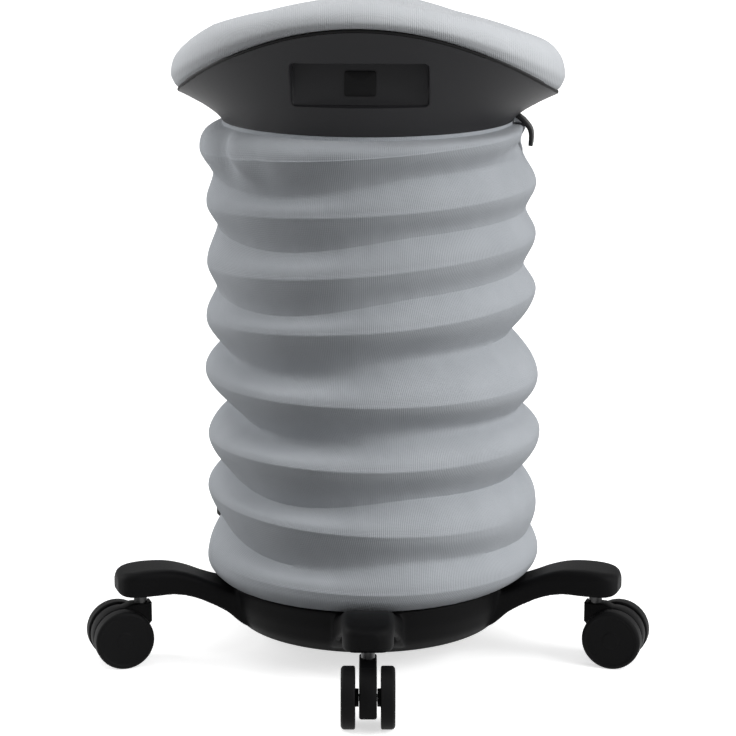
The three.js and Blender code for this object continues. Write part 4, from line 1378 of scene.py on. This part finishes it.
@dataclass
class Shell:
    """The moulded shell under the cushion, with its label recess and the lever's slot."""

    foot_radius: float = 0.122
    foot_height: float = 0.455
    flare: float = 0.036
    flare_power: float = 1.35
    first_radius: float = 0.14
    radius_passes: int = 6
    wall: float = 0.0036
    inner_foot: float = 0.0042
    foot_radii: tuple[float, float] = (0.119, 0.1214)
    rim_share: float = 0.9955
    rim_lift: float = 0.0002
    flange_radius: float = 0.098
    flange: float = 0.0035
    recess_half_width: float = 0.054
    recess_foot: float = 0.479
    recess_top: float = 0.514
    recess_back: float = -0.116
    recess_corner: float = 0.0035
    recess_edge: float = 0.0014
    recess_walls: tuple[float, float] = (0.0034, 0.003)
    recess_reach: float = 1.0
    front_half_width: float = 0.064
    front_hold: tuple[float, float] = (math.radians(35), math.radians(40))
    front_steps: tuple[float, ...] = (-0.003, -0.0018, -0.0011, -0.0005, 0.0, 0.0005, 0.0011)
    front_pitch: float = 0.006
    low_rows: tuple[float, ...] = (
        0.455, 0.4553, 0.456, 0.4575, 0.46, 0.463, 0.4665, 0.47, 0.4735, 0.476
    )
    edge_steps: tuple[float, ...] = (-0.0012, -0.0006, 0.0, 0.0006, 0.0012)
    middle_rows: tuple[float, ...] = (0.4825, 0.486, 0.49, 0.495, 0.5, 0.505, 0.509, 0.5115)
    last_row: float = 0.5165
    upper_shares: tuple[float, ...] = (0.2, 0.4, 0.6, 0.8, 0.93, 1)
    side_columns: int = 64
    lever_angle: float = math.radians(-6)
    slot_half_width: float = 0.0095
    slot_height: float = 0.015
    slot_foot: float = 0.453
    slot_corner: float = 0.003
    slot_reach: tuple[float, float] = (0.1172, 0.139)
    screw_count: int = 4
    screw_circle: float = 0.106
    screw_bore: float = 0.0021
    screw_hole: float = 0.0022
    post_foot: float = 0.4585
    post_top: float = 0.499
    post_radii: tuple[float, float] = (0.006, 0.0056)
    post_sides: int = 24

    def _front_lines(self) -> list[float]:
        """Where columns run up the front, closer together at the recess's ends."""
        half = self.recess_half_width
        near = [half + d for d in self.front_steps]
        right = [self.front_pitch * i for i in range(1, 9)] + near + [half + 0.0025, 0.060]
        right.append(self.front_half_width)
        return [-x for x in reversed(right)] + [0.0] + right

    def _heights(self) -> list[float]:
        """Row heights up the front, closer together at the recess's foot and top."""
        foot, top = (
            [place + d for d in self.edge_steps] for place in (self.recess_foot, self.recess_top)
        )
        return [*self.low_rows, *foot, *self.middle_rows, *top, self.last_row]

    def _surface(self, inner: bool) -> np.ndarray:
        """Rows of points of one face of the shell's wall, from its foot to its rim."""
        heights = self._heights()
        levels = [(z, None) for z in heights] + [(None, s) for s in self.upper_shares]
        front = self._front_lines()
        centre_rim = rim_height(-math.pi / 2)
        rows = []
        for height, above in levels:
            top = heights[-1]
            at_front = height if above is None else mix(top, centre_rim, above)
            share = (at_front - self.foot_height) / (centre_rim - self.foot_height)
            row = []
            for x, turn in self._columns(front):
                radius = self.first_radius
                for _ in range(self.radius_passes):
                    if turn is None:
                        angle = math.asin(x / radius)
                    else:
                        start = math.asin(self.front_half_width / radius)
                        angle = mix(start, 2 * math.pi - start, turn)
                    rim = rim_height(angle - math.pi / 2)
                    away = abs(wrapped(angle))
                    hold = 1 - smooth_step((away - self.front_hold[0]) / self.front_hold[1])
                    plain = mix(self.foot_height, rim, share)
                    fixed = height if above is None else mix(top, max(rim, top + 1e-4), above)
                    z = mix(plain, fixed, hold)
                    t = min(max((z - self.foot_height) / (rim - self.foot_height), 0), 1)
                    radius = self.foot_radius + self.flare * t**self.flare_power
                shown = radius - (self.wall if inner else 0.0)
                px, py = shown * math.sin(angle), -shown * math.cos(angle)
                py = self._pushed(px, py, z, away, inner)
                row.append((px, py, z))
            rows.append(row)
        return np.array(rows)

    def _columns(self, front: list[float]) -> list[tuple[float, float | None]]:
        """Each column: a place across the front, or a share of the way round the rest."""
        rest = [(0.0, (i + 1) / (self.side_columns + 1)) for i in range(self.side_columns)]
        return [(x, None) for x in front] + rest

    def _pushed(self, x: float, y: float, z: float, away: float, inner: bool) -> float:
        """The point's place after the recess is pressed into the front."""
        if away > self.recess_reach:
            return y
        grow, behind = self.recess_walls if inner else (0.0, 0.0)
        half_x = self.recess_half_width + grow - self.recess_corner
        centre = (self.recess_foot + self.recess_top) / 2
        half_z = (self.recess_top - self.recess_foot) / 2 + grow - self.recess_corner
        dx, dz = abs(x) - half_x, abs(z - centre) - half_z
        outside = math.hypot(max(dx, 0), max(dz, 0)) + min(max(dx, dz), 0) - self.recess_corner
        mask = 1 - smooth_step((outside + self.recess_edge / 2) / self.recess_edge)
        return mix(y, max(y, self.recess_back + behind), mask)

    def build(
        self, paint: dict[str, bpy.types.Material], repeater: RoundArray
    ) -> bpy.types.Object:
        """Makes the shell.

        Args:
            paint: the finishes.
            repeater: makes the four screw posts.

        Returns:
            The new object.
        """
        outer, inner = self._surface(False), self._surface(True)
        inner = inner[inner[:, 0, 2] > self.foot_height + self.inner_foot]

        def flat(ring: np.ndarray, radius: float, z: float) -> np.ndarray:
            """The ring moved to a radius and a height."""
            scale = radius / np.hypot(ring[:, 0], ring[:, 1])
            return np.stack([ring[:, 0] * scale, ring[:, 1] * scale, np.full(len(ring), z)], 1)

        rim_out = outer[-1].copy()
        rim_out[:, :2] *= self.rim_share
        rim_out[:, 2] += self.rim_lift
        foot, (inside, outside) = outer[0], self.foot_radii
        rings = np.concatenate(
            [
                outer,
                rim_out[None],
                inner[::-1],
                flat(foot, inside, self.foot_height + self.flange)[None],
                flat(foot, self.flange_radius, self.foot_height + self.flange)[None],
                flat(foot, self.flange_radius, self.foot_height)[None],
                flat(foot, outside, self.foot_height)[None],
            ]
        )
        body = skin("seat_shell_moulding", rings, loop=True)
        wide, narrow = self.post_radii
        profile = [
            (self.screw_bore, self.post_foot),
            (wide, self.post_foot - 0.0002),
            (narrow, self.post_top),
            (self.screw_bore, self.post_top),
        ]
        post = turned("post", profile, self.post_sides)
        around = (self.screw_count, self.screw_circle, math.pi / 4)
        repeater.repeat(post, *around, paint["shell"])
        slot = self._slot_tool()
        holes = turned("hole", bar(self.screw_hole, 0.45, 0.46), self.post_sides)
        repeater.repeat(holes, *around)
        cut_away(body, slot, holes)
        made = placed(merged("seat_shell_moulding", body, post), on_column())
        finished(made, paint["shell"], 38)
        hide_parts("seat_shell")
        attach(made, Body.SEAT.value)
        return made

    def _slot_tool(self) -> bpy.types.Object:
        """A rounded bar that cuts the lever's way out."""
        half = self.slot_half_width
        corners = ((-half, 0), (half, 0), (half, self.slot_height), (-half, self.slot_height))
        outline = rounded([(y, z, self.slot_corner) for y, z in corners], 4)
        sections = [[(x, y, self.slot_foot + z) for y, z in outline] for x in self.slot_reach]
        return placed(loft("slot", sections), Matrix.Rotation(self.lever_angle, 4, "Z"))


@dataclass
class LabelPlate:
    """The plain plate in the recess."""

    half_width: float = 0.0125
    foot: float = 0.4865
    top: float = 0.5065
    back: float = -0.1163
    thickness: float = 0.001
    corner: float = 0.0022
    edge: float = 0.0003

    def build(self, paint: dict[str, bpy.types.Material]) -> bpy.types.Object:
        """Makes the plate with rounded corners and a softened edge."""
        half, corner = self.half_width, self.corner
        outline = lambda inset: rounded(
            [
                (-half + inset, self.foot + inset, corner),
                (half - inset, self.foot + inset, corner),
                (half - inset, self.top - inset, corner),
                (-half + inset, self.top - inset, corner),
            ],
            6,
        )
        front, soft, fine = self.back - self.thickness, self.edge, self.edge / 3
        places = ((self.back, 0.0), (front + soft, 0.0), (front + fine, fine), (front, soft))
        sections = [[(x, y, z) for x, z in outline(inset)] for y, inset in places]
        made = placed(loft("label_blank", sections), on_column())
        finished(made, paint["label"], 50)
        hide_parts("label_plate")
        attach(made, Body.SEAT.value)
        return made


@dataclass
class Lever:
    """The flat steel lever that rises under the seat and releases the lift."""

    width: float = 0.014
    thickness: float = 0.0035
    boss: float = 0.006
    pivot_bore: float = 0.0028
    pivot_place: tuple[float, float] = (0.046, 0.485)
    edge: float = 0.0012
    least_tip: float = 0.0025
    angle: float = math.radians(-6)
    line: tuple[tuple[float, float], ...] = (
        (0.0, 0.4703),
        (0.0, 0.48325),
        (0.00175, 0.485),
        (0.052, 0.485),
        (0.1195, 0.46275),
        (0.123, 0.461),
        (0.130, 0.4556),
        (0.1356, 0.4489),
        (0.137, 0.4421),
        (0.1363, 0.434),
    )

    def build(self, paint: dict[str, bpy.types.Material]) -> bpy.types.Object:
        """Sweeps the lever's strip along its bent line, with a rounded tip."""
        path = spline(self.line[3:], 6)
        path = np.vstack([np.array(self.line[:3]), path])
        ways = np.gradient(path, axis=0)
        ways /= np.linalg.norm(ways, axis=1, keepdims=True)
        total = len(path)
        sections = []
        for i, (point, way) in enumerate(zip(path, ways)):
            side = np.array([-way[1], way[0]])
            from_tip = np.linalg.norm(path[-1] - point)
            half = self.width / 2
            if from_tip < half and i > total - 12:
                half = max(math.sqrt(half**2 - (half - from_tip) ** 2), self.least_tip)
            thin = self.thickness / 2
            corners = ((-half, -thin), (half, -thin), (half, thin), (-half, thin))
            outline = rounded([(w, t, self.edge) for w, t in corners], 3)
            sections.append(
                [(point[0] + side[0] * t, w, point[1] + side[1] * t) for w, t in outline]
            )
        strip = loft("lever_strip", sections)
        half = self.width / 2
        barrel = turned(
            "barrel",
            rounded(
                [
                    (self.pivot_bore, -half, 0),
                    (self.boss, -half, self.edge / 2),
                    (self.boss, half, self.edge / 2),
                    (self.pivot_bore, half, 0),
                ],
                3,
            ),
            48,
        )
        along, height = self.pivot_place
        pivot = Matrix.Translation((along, 0, height)) @ Matrix.Rotation(math.pi / 2, 4, "X")
        placed(barrel, pivot)
        bore = placed(turned("bore", bar(self.pivot_bore, -0.02, 0.02), 48), pivot)
        cut_away(strip, bore)
        made = merged("release_lever_strip", strip, barrel)
        placed(made, on_column() @ Matrix.Rotation(self.angle, 4, "Z"))
        finished(made, paint["lever"], 45)
        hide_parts("release_lever")
        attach(made, Body.LEVER.value)
        return made


# The base and castors


@dataclass
class StarBase:
    """The moulded star base: a shallow bowl round the lift's boss, with five arms."""

    arm_count: int = 5
    root: float = 0.104
    tip: float = 0.223
    root_underside: float = 0.025
    tip_underside: float = 0.061
    root_top: float = 0.054
    crest: float = 0.083
    half_width: float = 0.021
    wall: float = 0.005
    edge: float = 0.0068
    voxel: float = 0.0016
    crown_swell: float = 0.0011
    foot_corner: float = 0.002
    foot_share: float = 0.985
    pocket_reach: tuple[float, float] = (0.17, 0.71)
    pocket_corner: float = 0.003
    lift_bore: tuple[tuple[float, float], ...] = (
        (0, 0.02), (0.0238, 0.02), (0.0262, 0.08), (0, 0.08)
    )
    rib_count: int = 10
    rib_reach: tuple[float, float] = (0.034, 0.1095)
    rib_halves: tuple[float, float] = (0.002, 0.0024)
    rib_heights: tuple[float, float] = (0.025, 0.05)
    castor_circle: float = 0.2025
    socket_radius: float = 0.006
    socket_top: float = 0.0766
    face_limit: int = 90000
    triangle_aim: int = 175000
    sections: tuple[tuple[float, float, float, float], ...] = (
        (0.0, 0.0, 0.0, 1.52),
        (0.126, 0.167, 0.2, 1.43),
        (0.244, 0.5, 0.362, 1.26),
        (0.353, 0.708, 0.55, 1.14),
        (0.471, 0.89, 0.776, 1.06),
        (0.61, 1.0, 0.948, 1.01),
        (0.773, 1.0, 1.0, 1.0),
        (0.9, 1.0, 0.966, 0.95),
        (0.966, 1.01, 0.9, 0.74),
        (1.0, 1.07, 0.8, 0.4),
    )

    def _arm(self) -> bpy.types.Object:
        """One arm along +X, with its pocket cut out underneath."""
        sections = []
        for along, under, top, width in spline(self.sections, 4):
            x = mix(self.root, self.tip, along)
            foot = mix(self.root_underside, self.tip_underside, under)
            crown = mix(self.root_top, self.crest, top)
            half = self.half_width * width
            edge = min(self.edge, half * 0.7, (crown - foot) * 0.45)
            outline = rounded(
                [
                    (half * self.foot_share, foot, self.foot_corner),
                    (half, crown - edge * 0.1, edge),
                    (-half, crown - edge * 0.1, edge),
                    (-half * self.foot_share, foot, self.foot_corner),
                ],
                6,
            )
            swell = lambda y: self.crown_swell * (1 - (y / half) ** 2)
            sections.append(
                [(x, y, z + (swell(y) if z > foot + 0.01 else 0)) for y, z in outline]
            )
        arm = loft("arm", sections)
        pocket = []
        for along, _, top, width in spline(self.sections, 4):
            if not self.pocket_reach[0] < along < self.pocket_reach[1]:
                continue
            x = mix(self.root, self.tip, along)
            half = self.half_width * width - self.wall
            roof = mix(self.root_top, self.crest, top) - self.wall
            soft = self.pocket_corner
            corners = [(half, 0, 0), (half, roof, soft), (-half, roof, soft), (-half, 0, 0)]
            pocket.append([(x, y, z) for y, z in rounded(corners, 4)])
        return cut_away(arm, loft("pocket", pocket))

    def _bowl(self) -> bpy.types.Object:
        """The bowl, its deck and the boss that holds the lift."""
        outline = [
            (0.0246, 0.023, 0),
            (0.035, 0.023, 0.001),
            (0.035, 0.048, 0.003),
            (0.108, 0.048, 0.003),
            (0.108, 0.023, 0.0008),
            (0.112, 0.023, 0.0015),
            (0.1209, 0.0332, 0.004),
            (0.1261, 0.0476, 0.004),
            (0.128, 0.064, 0.0025),
            (0.122, 0.064, 0.0018),
            (0.112, 0.053, 0.004),
            (0.040, 0.053, 0.006),
            (0.035, 0.075, 0.002),
            (0.0266, 0.075, 0),
        ]
        return turned("bowl", rounded(outline, 4), 160)

    def build(
        self, paint: dict[str, bpy.types.Material], repeater: RoundArray
    ) -> bpy.types.Object:
        """Makes the base as one moulding with small fillets where its forms meet.

        Args:
            paint: the finishes.
            repeater: repeats the arms and the ribs under the deck.

        Returns:
            The new object.
        """
        arms = repeater.repeat(self._arm(), self.arm_count, 0.0, -math.pi / 2)
        (foot, head), (low, high) = self.rib_halves, self.rib_heights
        rib = loft(
            "rib",
            [
                [(x, y, z) for y, z in ((-foot, low), (foot, low), (head, high), (-head, high))]
                for x in self.rib_reach
            ],
        )
        ribs = repeater.repeat(
            rib, self.rib_count, 0.0, math.pi / self.rib_count - math.pi / 2
        )
        body = merged("star_base_moulding", self._bowl(), arms, ribs)
        remoulded(body, self.voxel, 3)
        bore = turned("bore", self.lift_bore, 96)
        socket = turned("socket", bar(self.socket_radius, 0.05, self.socket_top), 48)
        repeater.repeat(socket, self.arm_count, self.castor_circle, -math.pi / 2)
        cut_away(body, bore, socket)
        if len(body.data.polygons) > self.face_limit:
            thin = body.modifiers.new("thin", "DECIMATE")
            triangles = sum(len(p.vertices) - 2 for p in body.data.polygons)
            thin.ratio = self.triangle_aim / triangles
            settled(body)
        placed(body, on_column(yawed=False))
        finished(body, paint["nylon"], 55)
        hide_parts("star_base")
        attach(body, Body.BASE.value)
        return body


@dataclass
class Castors:
    """Five twin-wheel castors, each with a stem, a hooded body and two wheels."""

    circle: float = 0.2025
    trail: float = 0.018
    wheel_radius: float = 0.025
    half_pair: float = 0.02175
    wheel_width: float = 0.0117
    body_half: float = 0.007
    body_height: float = 0.052
    hood_radius: float = 0.0243
    hub_radius: float = 0.0135
    axle_bore: float = 0.0033
    stem_bore: float = 0.0058
    stem_radius: float = 0.0055
    stem_end_radius: float = 0.0044
    stem_foot: float = 0.0403
    stem_shoulder: float = 0.0745
    stem_top: float = 0.0757
    neck_half: float = 0.0085
    neck_foot: float = 0.0355
    cap_radius: float = 0.0065
    groove_radius: float = 0.0072
    arm_count: int = 5

    def _wheel(self, side: int) -> bpy.types.Object:
        """A wheel on the castor's axle, with a dished face and a rounded shoulder."""
        out, inner, radius = self.half_pair, self.half_pair - self.wheel_width, self.wheel_radius
        profile = rounded(
            [
                (0.0, out - 0.0009, 0),
                (self.cap_radius, out - 0.0009, 0.0008),
                (self.groove_radius, out - 0.0014, 0.0008),
                (0.0205, out - 0.0010, 0.003),
                (0.0222, out, 0.0012),
                (radius, out - 0.0016, 0.0022),
                (radius, inner + 0.0004, 0.0014),
                (radius - 0.0022, inner, 0.0012),
                (self.groove_radius, inner, 0.0008),
                (self.groove_radius, self.body_half + 0.0003, 0.0004),
                (self.axle_bore, self.body_half + 0.0003, 0.0),
                (self.axle_bore, out - 0.0037, 0.0),
                (0.0, out - 0.0037, 0),
            ],
            5,
        )
        made = turned("wheel", profile, 96)
        turn = Matrix.Rotation(-side * math.pi / 2, 4, "X")
        return placed(made, Matrix.Translation((self.trail, 0, radius)) @ turn)

    def _outline(self) -> list[tuple[float, float]]:
        """The body's outline: a neck under the stem and a hood over the wheels."""
        axle = self.wheel_radius
        arc = lambda r, a: (self.trail + r * math.cos(a), axle + r * math.sin(a))
        points = [(-self.neck_half, self.body_height), (-self.neck_half, self.neck_foot)]
        points += [arc(self.hub_radius, math.radians(a)) for a in range(200, 291, 10)]
        points += [arc(self.hood_radius, math.radians(a)) for a in range(-24, 97, 5)]
        points += [(self.neck_half, self.body_height)]
        return points

    def _body(self) -> bpy.types.Object:
        """The body with softened edges, bored for the axle and the stem."""
        outline = np.array(self._outline())
        ahead, behind = np.roll(outline, -1, axis=0), np.roll(outline, 1, axis=0)
        way = ahead - behind
        way /= np.linalg.norm(way, axis=1, keepdims=True)
        inward = np.stack([-way[:, 1], way[:, 0]], axis=1)
        half = self.body_half
        places = ((-half, 0.0016), (-half + 0.0005, 0.0005), (-half + 0.0016, 0.0))
        places += tuple((-y, inset) for y, inset in reversed(places))
        sections = [
            [(x, y, z) for x, z in outline + inward * inset] for y, inset in places
        ]
        body = loft("castor_body", sections)
        axle = turned("axle_bore", bar(self.axle_bore, -0.02, 0.02), 32)
        turn = Matrix.Rotation(math.pi / 2, 4, "X")
        placed(axle, Matrix.Translation((self.trail, 0, self.wheel_radius)) @ turn)
        stem = turned("stem_bore", bar(self.stem_bore, 0.0398, 0.06), 32)
        return cut_away(body, axle, stem)

    def _stem(self) -> bpy.types.Object:
        """The stem with a collar under the arm and a chamfered end."""
        return turned(
            "stem",
            rounded(
                [
                    (0.0, self.stem_foot, 0),
                    (self.stem_radius, self.stem_foot, 0.0004),
                    (self.stem_radius, self.stem_shoulder, 0.0006),
                    (self.stem_end_radius, self.stem_top, 0.0006),
                    (0.0, self.stem_top, 0),
                ],
                3,
            ),
            48,
        )

    def build(self, paint: dict[str, bpy.types.Material]) -> list[bpy.types.Object]:
        """Makes the castors, each turned the way the model stands.

        Args:
            paint: the finishes.

        Returns:
            Every new piece.
        """
        made = []
        for number in range(1, self.arm_count + 1):
            angle = 2 * math.pi * (number - 1) / self.arm_count - math.pi / 2
            trail = math.pi / 2 if math.sin(angle) > 0 else angle
            place = (
                on_column(yawed=False)
                @ Matrix.Translation(
                    (self.circle * math.cos(angle), self.circle * math.sin(angle), 0)
                )
                @ Matrix.Rotation(trail, 4, "Z")
            )
            label = f"castor_{number}"
            parts = (
                (self._body(), "body", label, Slot.NYLON, "nylon"),
                (self._stem(), "stem", label, Slot.STEEL, "black_steel"),
                (self._wheel(1), "wheel_left", f"{label}_left", Slot.WHEEL, "wheel"),
                (self._wheel(-1), "wheel_right", f"{label}_right", Slot.WHEEL, "wheel"),
            )
            for obj, part, body, slot, finish in parts:
                placed(obj, place)
                obj.name = f"{label}_{part}_moulding"
                finished(obj, paint[finish], 42)
                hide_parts(f"{label}_{part}")
                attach(obj, body)
                made.append(obj)
        return made


# The studio


@dataclass
class Studio:
    """The camera, the floor and the light."""

    focal_pixels: float = 2500.0
    frame_pixels: float = 736.0
    sensor: float = 36.0
    clip_end: float = 100.0
    distance: float = 2.079
    height: float = 0.725
    pitch: float = math.radians(13.13)
    floor_half: float = 30.0
    floor_white: float = 0.9
    floor_bounce: float = 0.2
    floor_lift: float = 0.62
    sky: float = 0.33
    key_energy: float = 1.65
    key_softness: float = math.radians(36)
    key_turn: float = math.radians(58)
    key_climb: float = math.radians(33)
    top_energy: float = 0.85
    top_softness: float = math.radians(60)
    aim_height: float = 0.3
    rims: tuple[tuple, ...] = (
        ("rim_left", (-1.7, 0.4, 0.9), (0.5, 1.4), 17.0),
        ("rim_right", (1.7, -0.4, 0.35), (0.5, 0.9), 8.0),
    )

    def camera(self) -> None:
        """Sets the camera at the photograph's angle."""
        data = bpy.data.cameras.new("camera")
        data.sensor_width = self.sensor
        data.sensor_fit = "HORIZONTAL"
        data.lens = data.sensor_width * self.focal_pixels / self.frame_pixels
        data.clip_end = self.clip_end
        camera = in_scene("camera", data)
        camera.location = (0.0, COLUMN_Y - self.distance, self.height)
        camera.rotation_euler = (math.pi / 2 - self.pitch, 0.0, 0.0)
        bpy.context.scene.camera = camera

    @staticmethod
    def _seen(tree: bpy.types.NodeTree) -> bpy.types.NodeSocket:
        """One for rays that see the backdrop directly, in gloss or through glass."""
        path = tree.nodes.new("ShaderNodeLightPath")
        both = maths(tree, "ADD", path.outputs["Is Camera Ray"], path.outputs["Is Glossy Ray"])
        every = tree.nodes.new("ShaderNodeMath")
        every.operation = "ADD"
        every.use_clamp = True
        tree.links.new(both, every.inputs[0])
        tree.links.new(path.outputs["Is Transmission Ray"], every.inputs[1])
        return every.outputs[0]

    def floor(self) -> None:
        """A white floor that keeps the stool's soft shadow."""
        half = self.floor_half
        mesh = bpy.data.meshes.new("floor")
        mesh.from_pydata(
            [(-half, -half, 0), (half, -half, 0), (half, half, 0), (-half, half, 0)],
            [],
            [(0, 1, 2, 3)],
        )
        floor = in_scene("floor", mesh)
        paint = bpy.data.materials.new("floor_white")
        paint.use_nodes = True
        tree = paint.node_tree
        shader = tree.nodes["Principled BSDF"]
        tone = tree.nodes.new("ShaderNodeCombineColor")
        seen = self._seen(tree)
        grey = maths(tree, "MULTIPLY_ADD", seen, self.floor_white - self.floor_bounce,
                     self.floor_bounce)
        for channel in tone.inputs:
            tree.links.new(grey, channel)
        tree.links.new(tone.outputs[0], shader.inputs["Base Color"])
        shader.inputs["Roughness"].default_value = 1.0
        shader.inputs["Specular IOR Level"].default_value = 0.0
        glow = tree.nodes.new("ShaderNodeEmission")
        tree.links.new(maths(tree, "MULTIPLY", seen, self.floor_lift), glow.inputs["Strength"])
        both = tree.nodes.new("ShaderNodeAddShader")
        tree.links.new(shader.outputs[0], both.inputs[0])
        tree.links.new(glow.outputs[0], both.inputs[1])
        output = tree.nodes["Material Output"]
        tree.links.new(both.outputs[0], output.inputs["Surface"])
        mesh.materials.append(paint)

    def world(self) -> None:
        """White where it is seen, and a plain fill light elsewhere."""
        world = bpy.data.worlds.new("world")
        world.use_nodes = True
        bpy.context.scene.world = world
        tree = world.node_tree
        shade = tree.nodes["Background"]
        shade.inputs["Color"].default_value = (1, 1, 1, 1)
        strength = maths(tree, "MULTIPLY_ADD", self._seen(tree), 1.0 - self.sky, self.sky)
        tree.links.new(strength, shade.inputs["Strength"])

    def lamps(self) -> None:
        """A soft low key from the right, a weak light from above and a strip on each side."""
        sun = bpy.data.lights.new("key", "SUN")
        sun.energy = self.key_energy
        sun.angle = self.key_softness
        key = in_scene("key", sun)
        flat = math.cos(self.key_climb)
        towards = Vector(
            (
                -flat * math.sin(self.key_turn),
                flat * math.cos(self.key_turn),
                -math.sin(self.key_climb),
            )
        )
        key.rotation_euler = towards.to_track_quat("-Z", "Y").to_euler()
        overhead = bpy.data.lights.new("overhead", "SUN")
        overhead.energy = self.top_energy
        overhead.angle = self.top_softness
        in_scene("overhead", overhead)
        aim = Vector((0.0, COLUMN_Y, self.aim_height))
        for name, place, size, power in self.rims:
            data = bpy.data.lights.new(name, "AREA")
            data.shape = "RECTANGLE"
            data.size, data.size_y = size
            data.energy = power
            lamp = in_scene(name, data)
            lamp.location = place
            lamp.rotation_euler = (aim - Vector(place)).to_track_quat("-Z", "Y").to_euler()

    def build(self) -> None:
        """Sets the whole studio."""
        self.camera()
        self.floor()
        self.world()
        self.lamps()
        bpy.context.scene.view_settings.view_transform = "Standard"


def dress_packed(nodes: dict[str, bpy.types.Object], record: dict, paint: dict) -> None:
    """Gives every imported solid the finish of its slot.

    Args:
        nodes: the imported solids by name.
        record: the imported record, which names each solid's slot.
        paint: the finishes.
    """
    finishes = {
        Slot.NYLON: "nylon",
        Slot.WHEEL: "wheel",
        Slot.STEEL: "steel",
        Slot.BLACK_STEEL: "black_steel",
        Slot.GREY_PLASTIC: "grey_plastic",
        Slot.RUBBER: "rubber",
        Slot.SHELL: "shell",
        Slot.LABEL: "label",
        Slot.PLYWOOD: "plywood",
        Slot.FOAM: "foam",
        Slot.KNIT: "knit",
    }
    slots = {row["node"]: row["material_slot"] for row in record["subparts"]}
    for name, node in nodes.items():
        material = paint[finishes[Slot(slots[name])]]
        node.data.materials.clear()
        node.data.materials.append(material)


def plain(corners: Sequence[Sequence[float]]) -> list[list[float]]:
    """Two corners as plain lists of numbers."""
    return [[float(value) for value in corner] for corner in corners]


def main() -> None:
    """Loads the frame, builds every piece and sets the studio."""
    logging.basicConfig(level=logging.INFO, format="%(message)s")
    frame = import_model()
    studio = Studio()
    studio.build()
    paint = Palette().materials()
    dress_packed(frame["nodes"], frame["record"], paint)
    repeater = RoundArray()
    Sleeve().build(paint)
    cushion = Cushion()
    built = [cushion.cover_piece(paint), cushion.foam_piece(paint), cushion.shadow_seam_piece(paint)]
    built.append(Shell().build(paint, repeater))
    built += [LabelPlate().build(paint), Lever().build(paint)]
    built.append(StarBase().build(paint, repeater))
    built += Castors().build(paint)
    for obj in built:
        LOG.info("%s: %d faces", obj.name, len(obj.data.polygons))


if __name__ == "__main__":
    main()
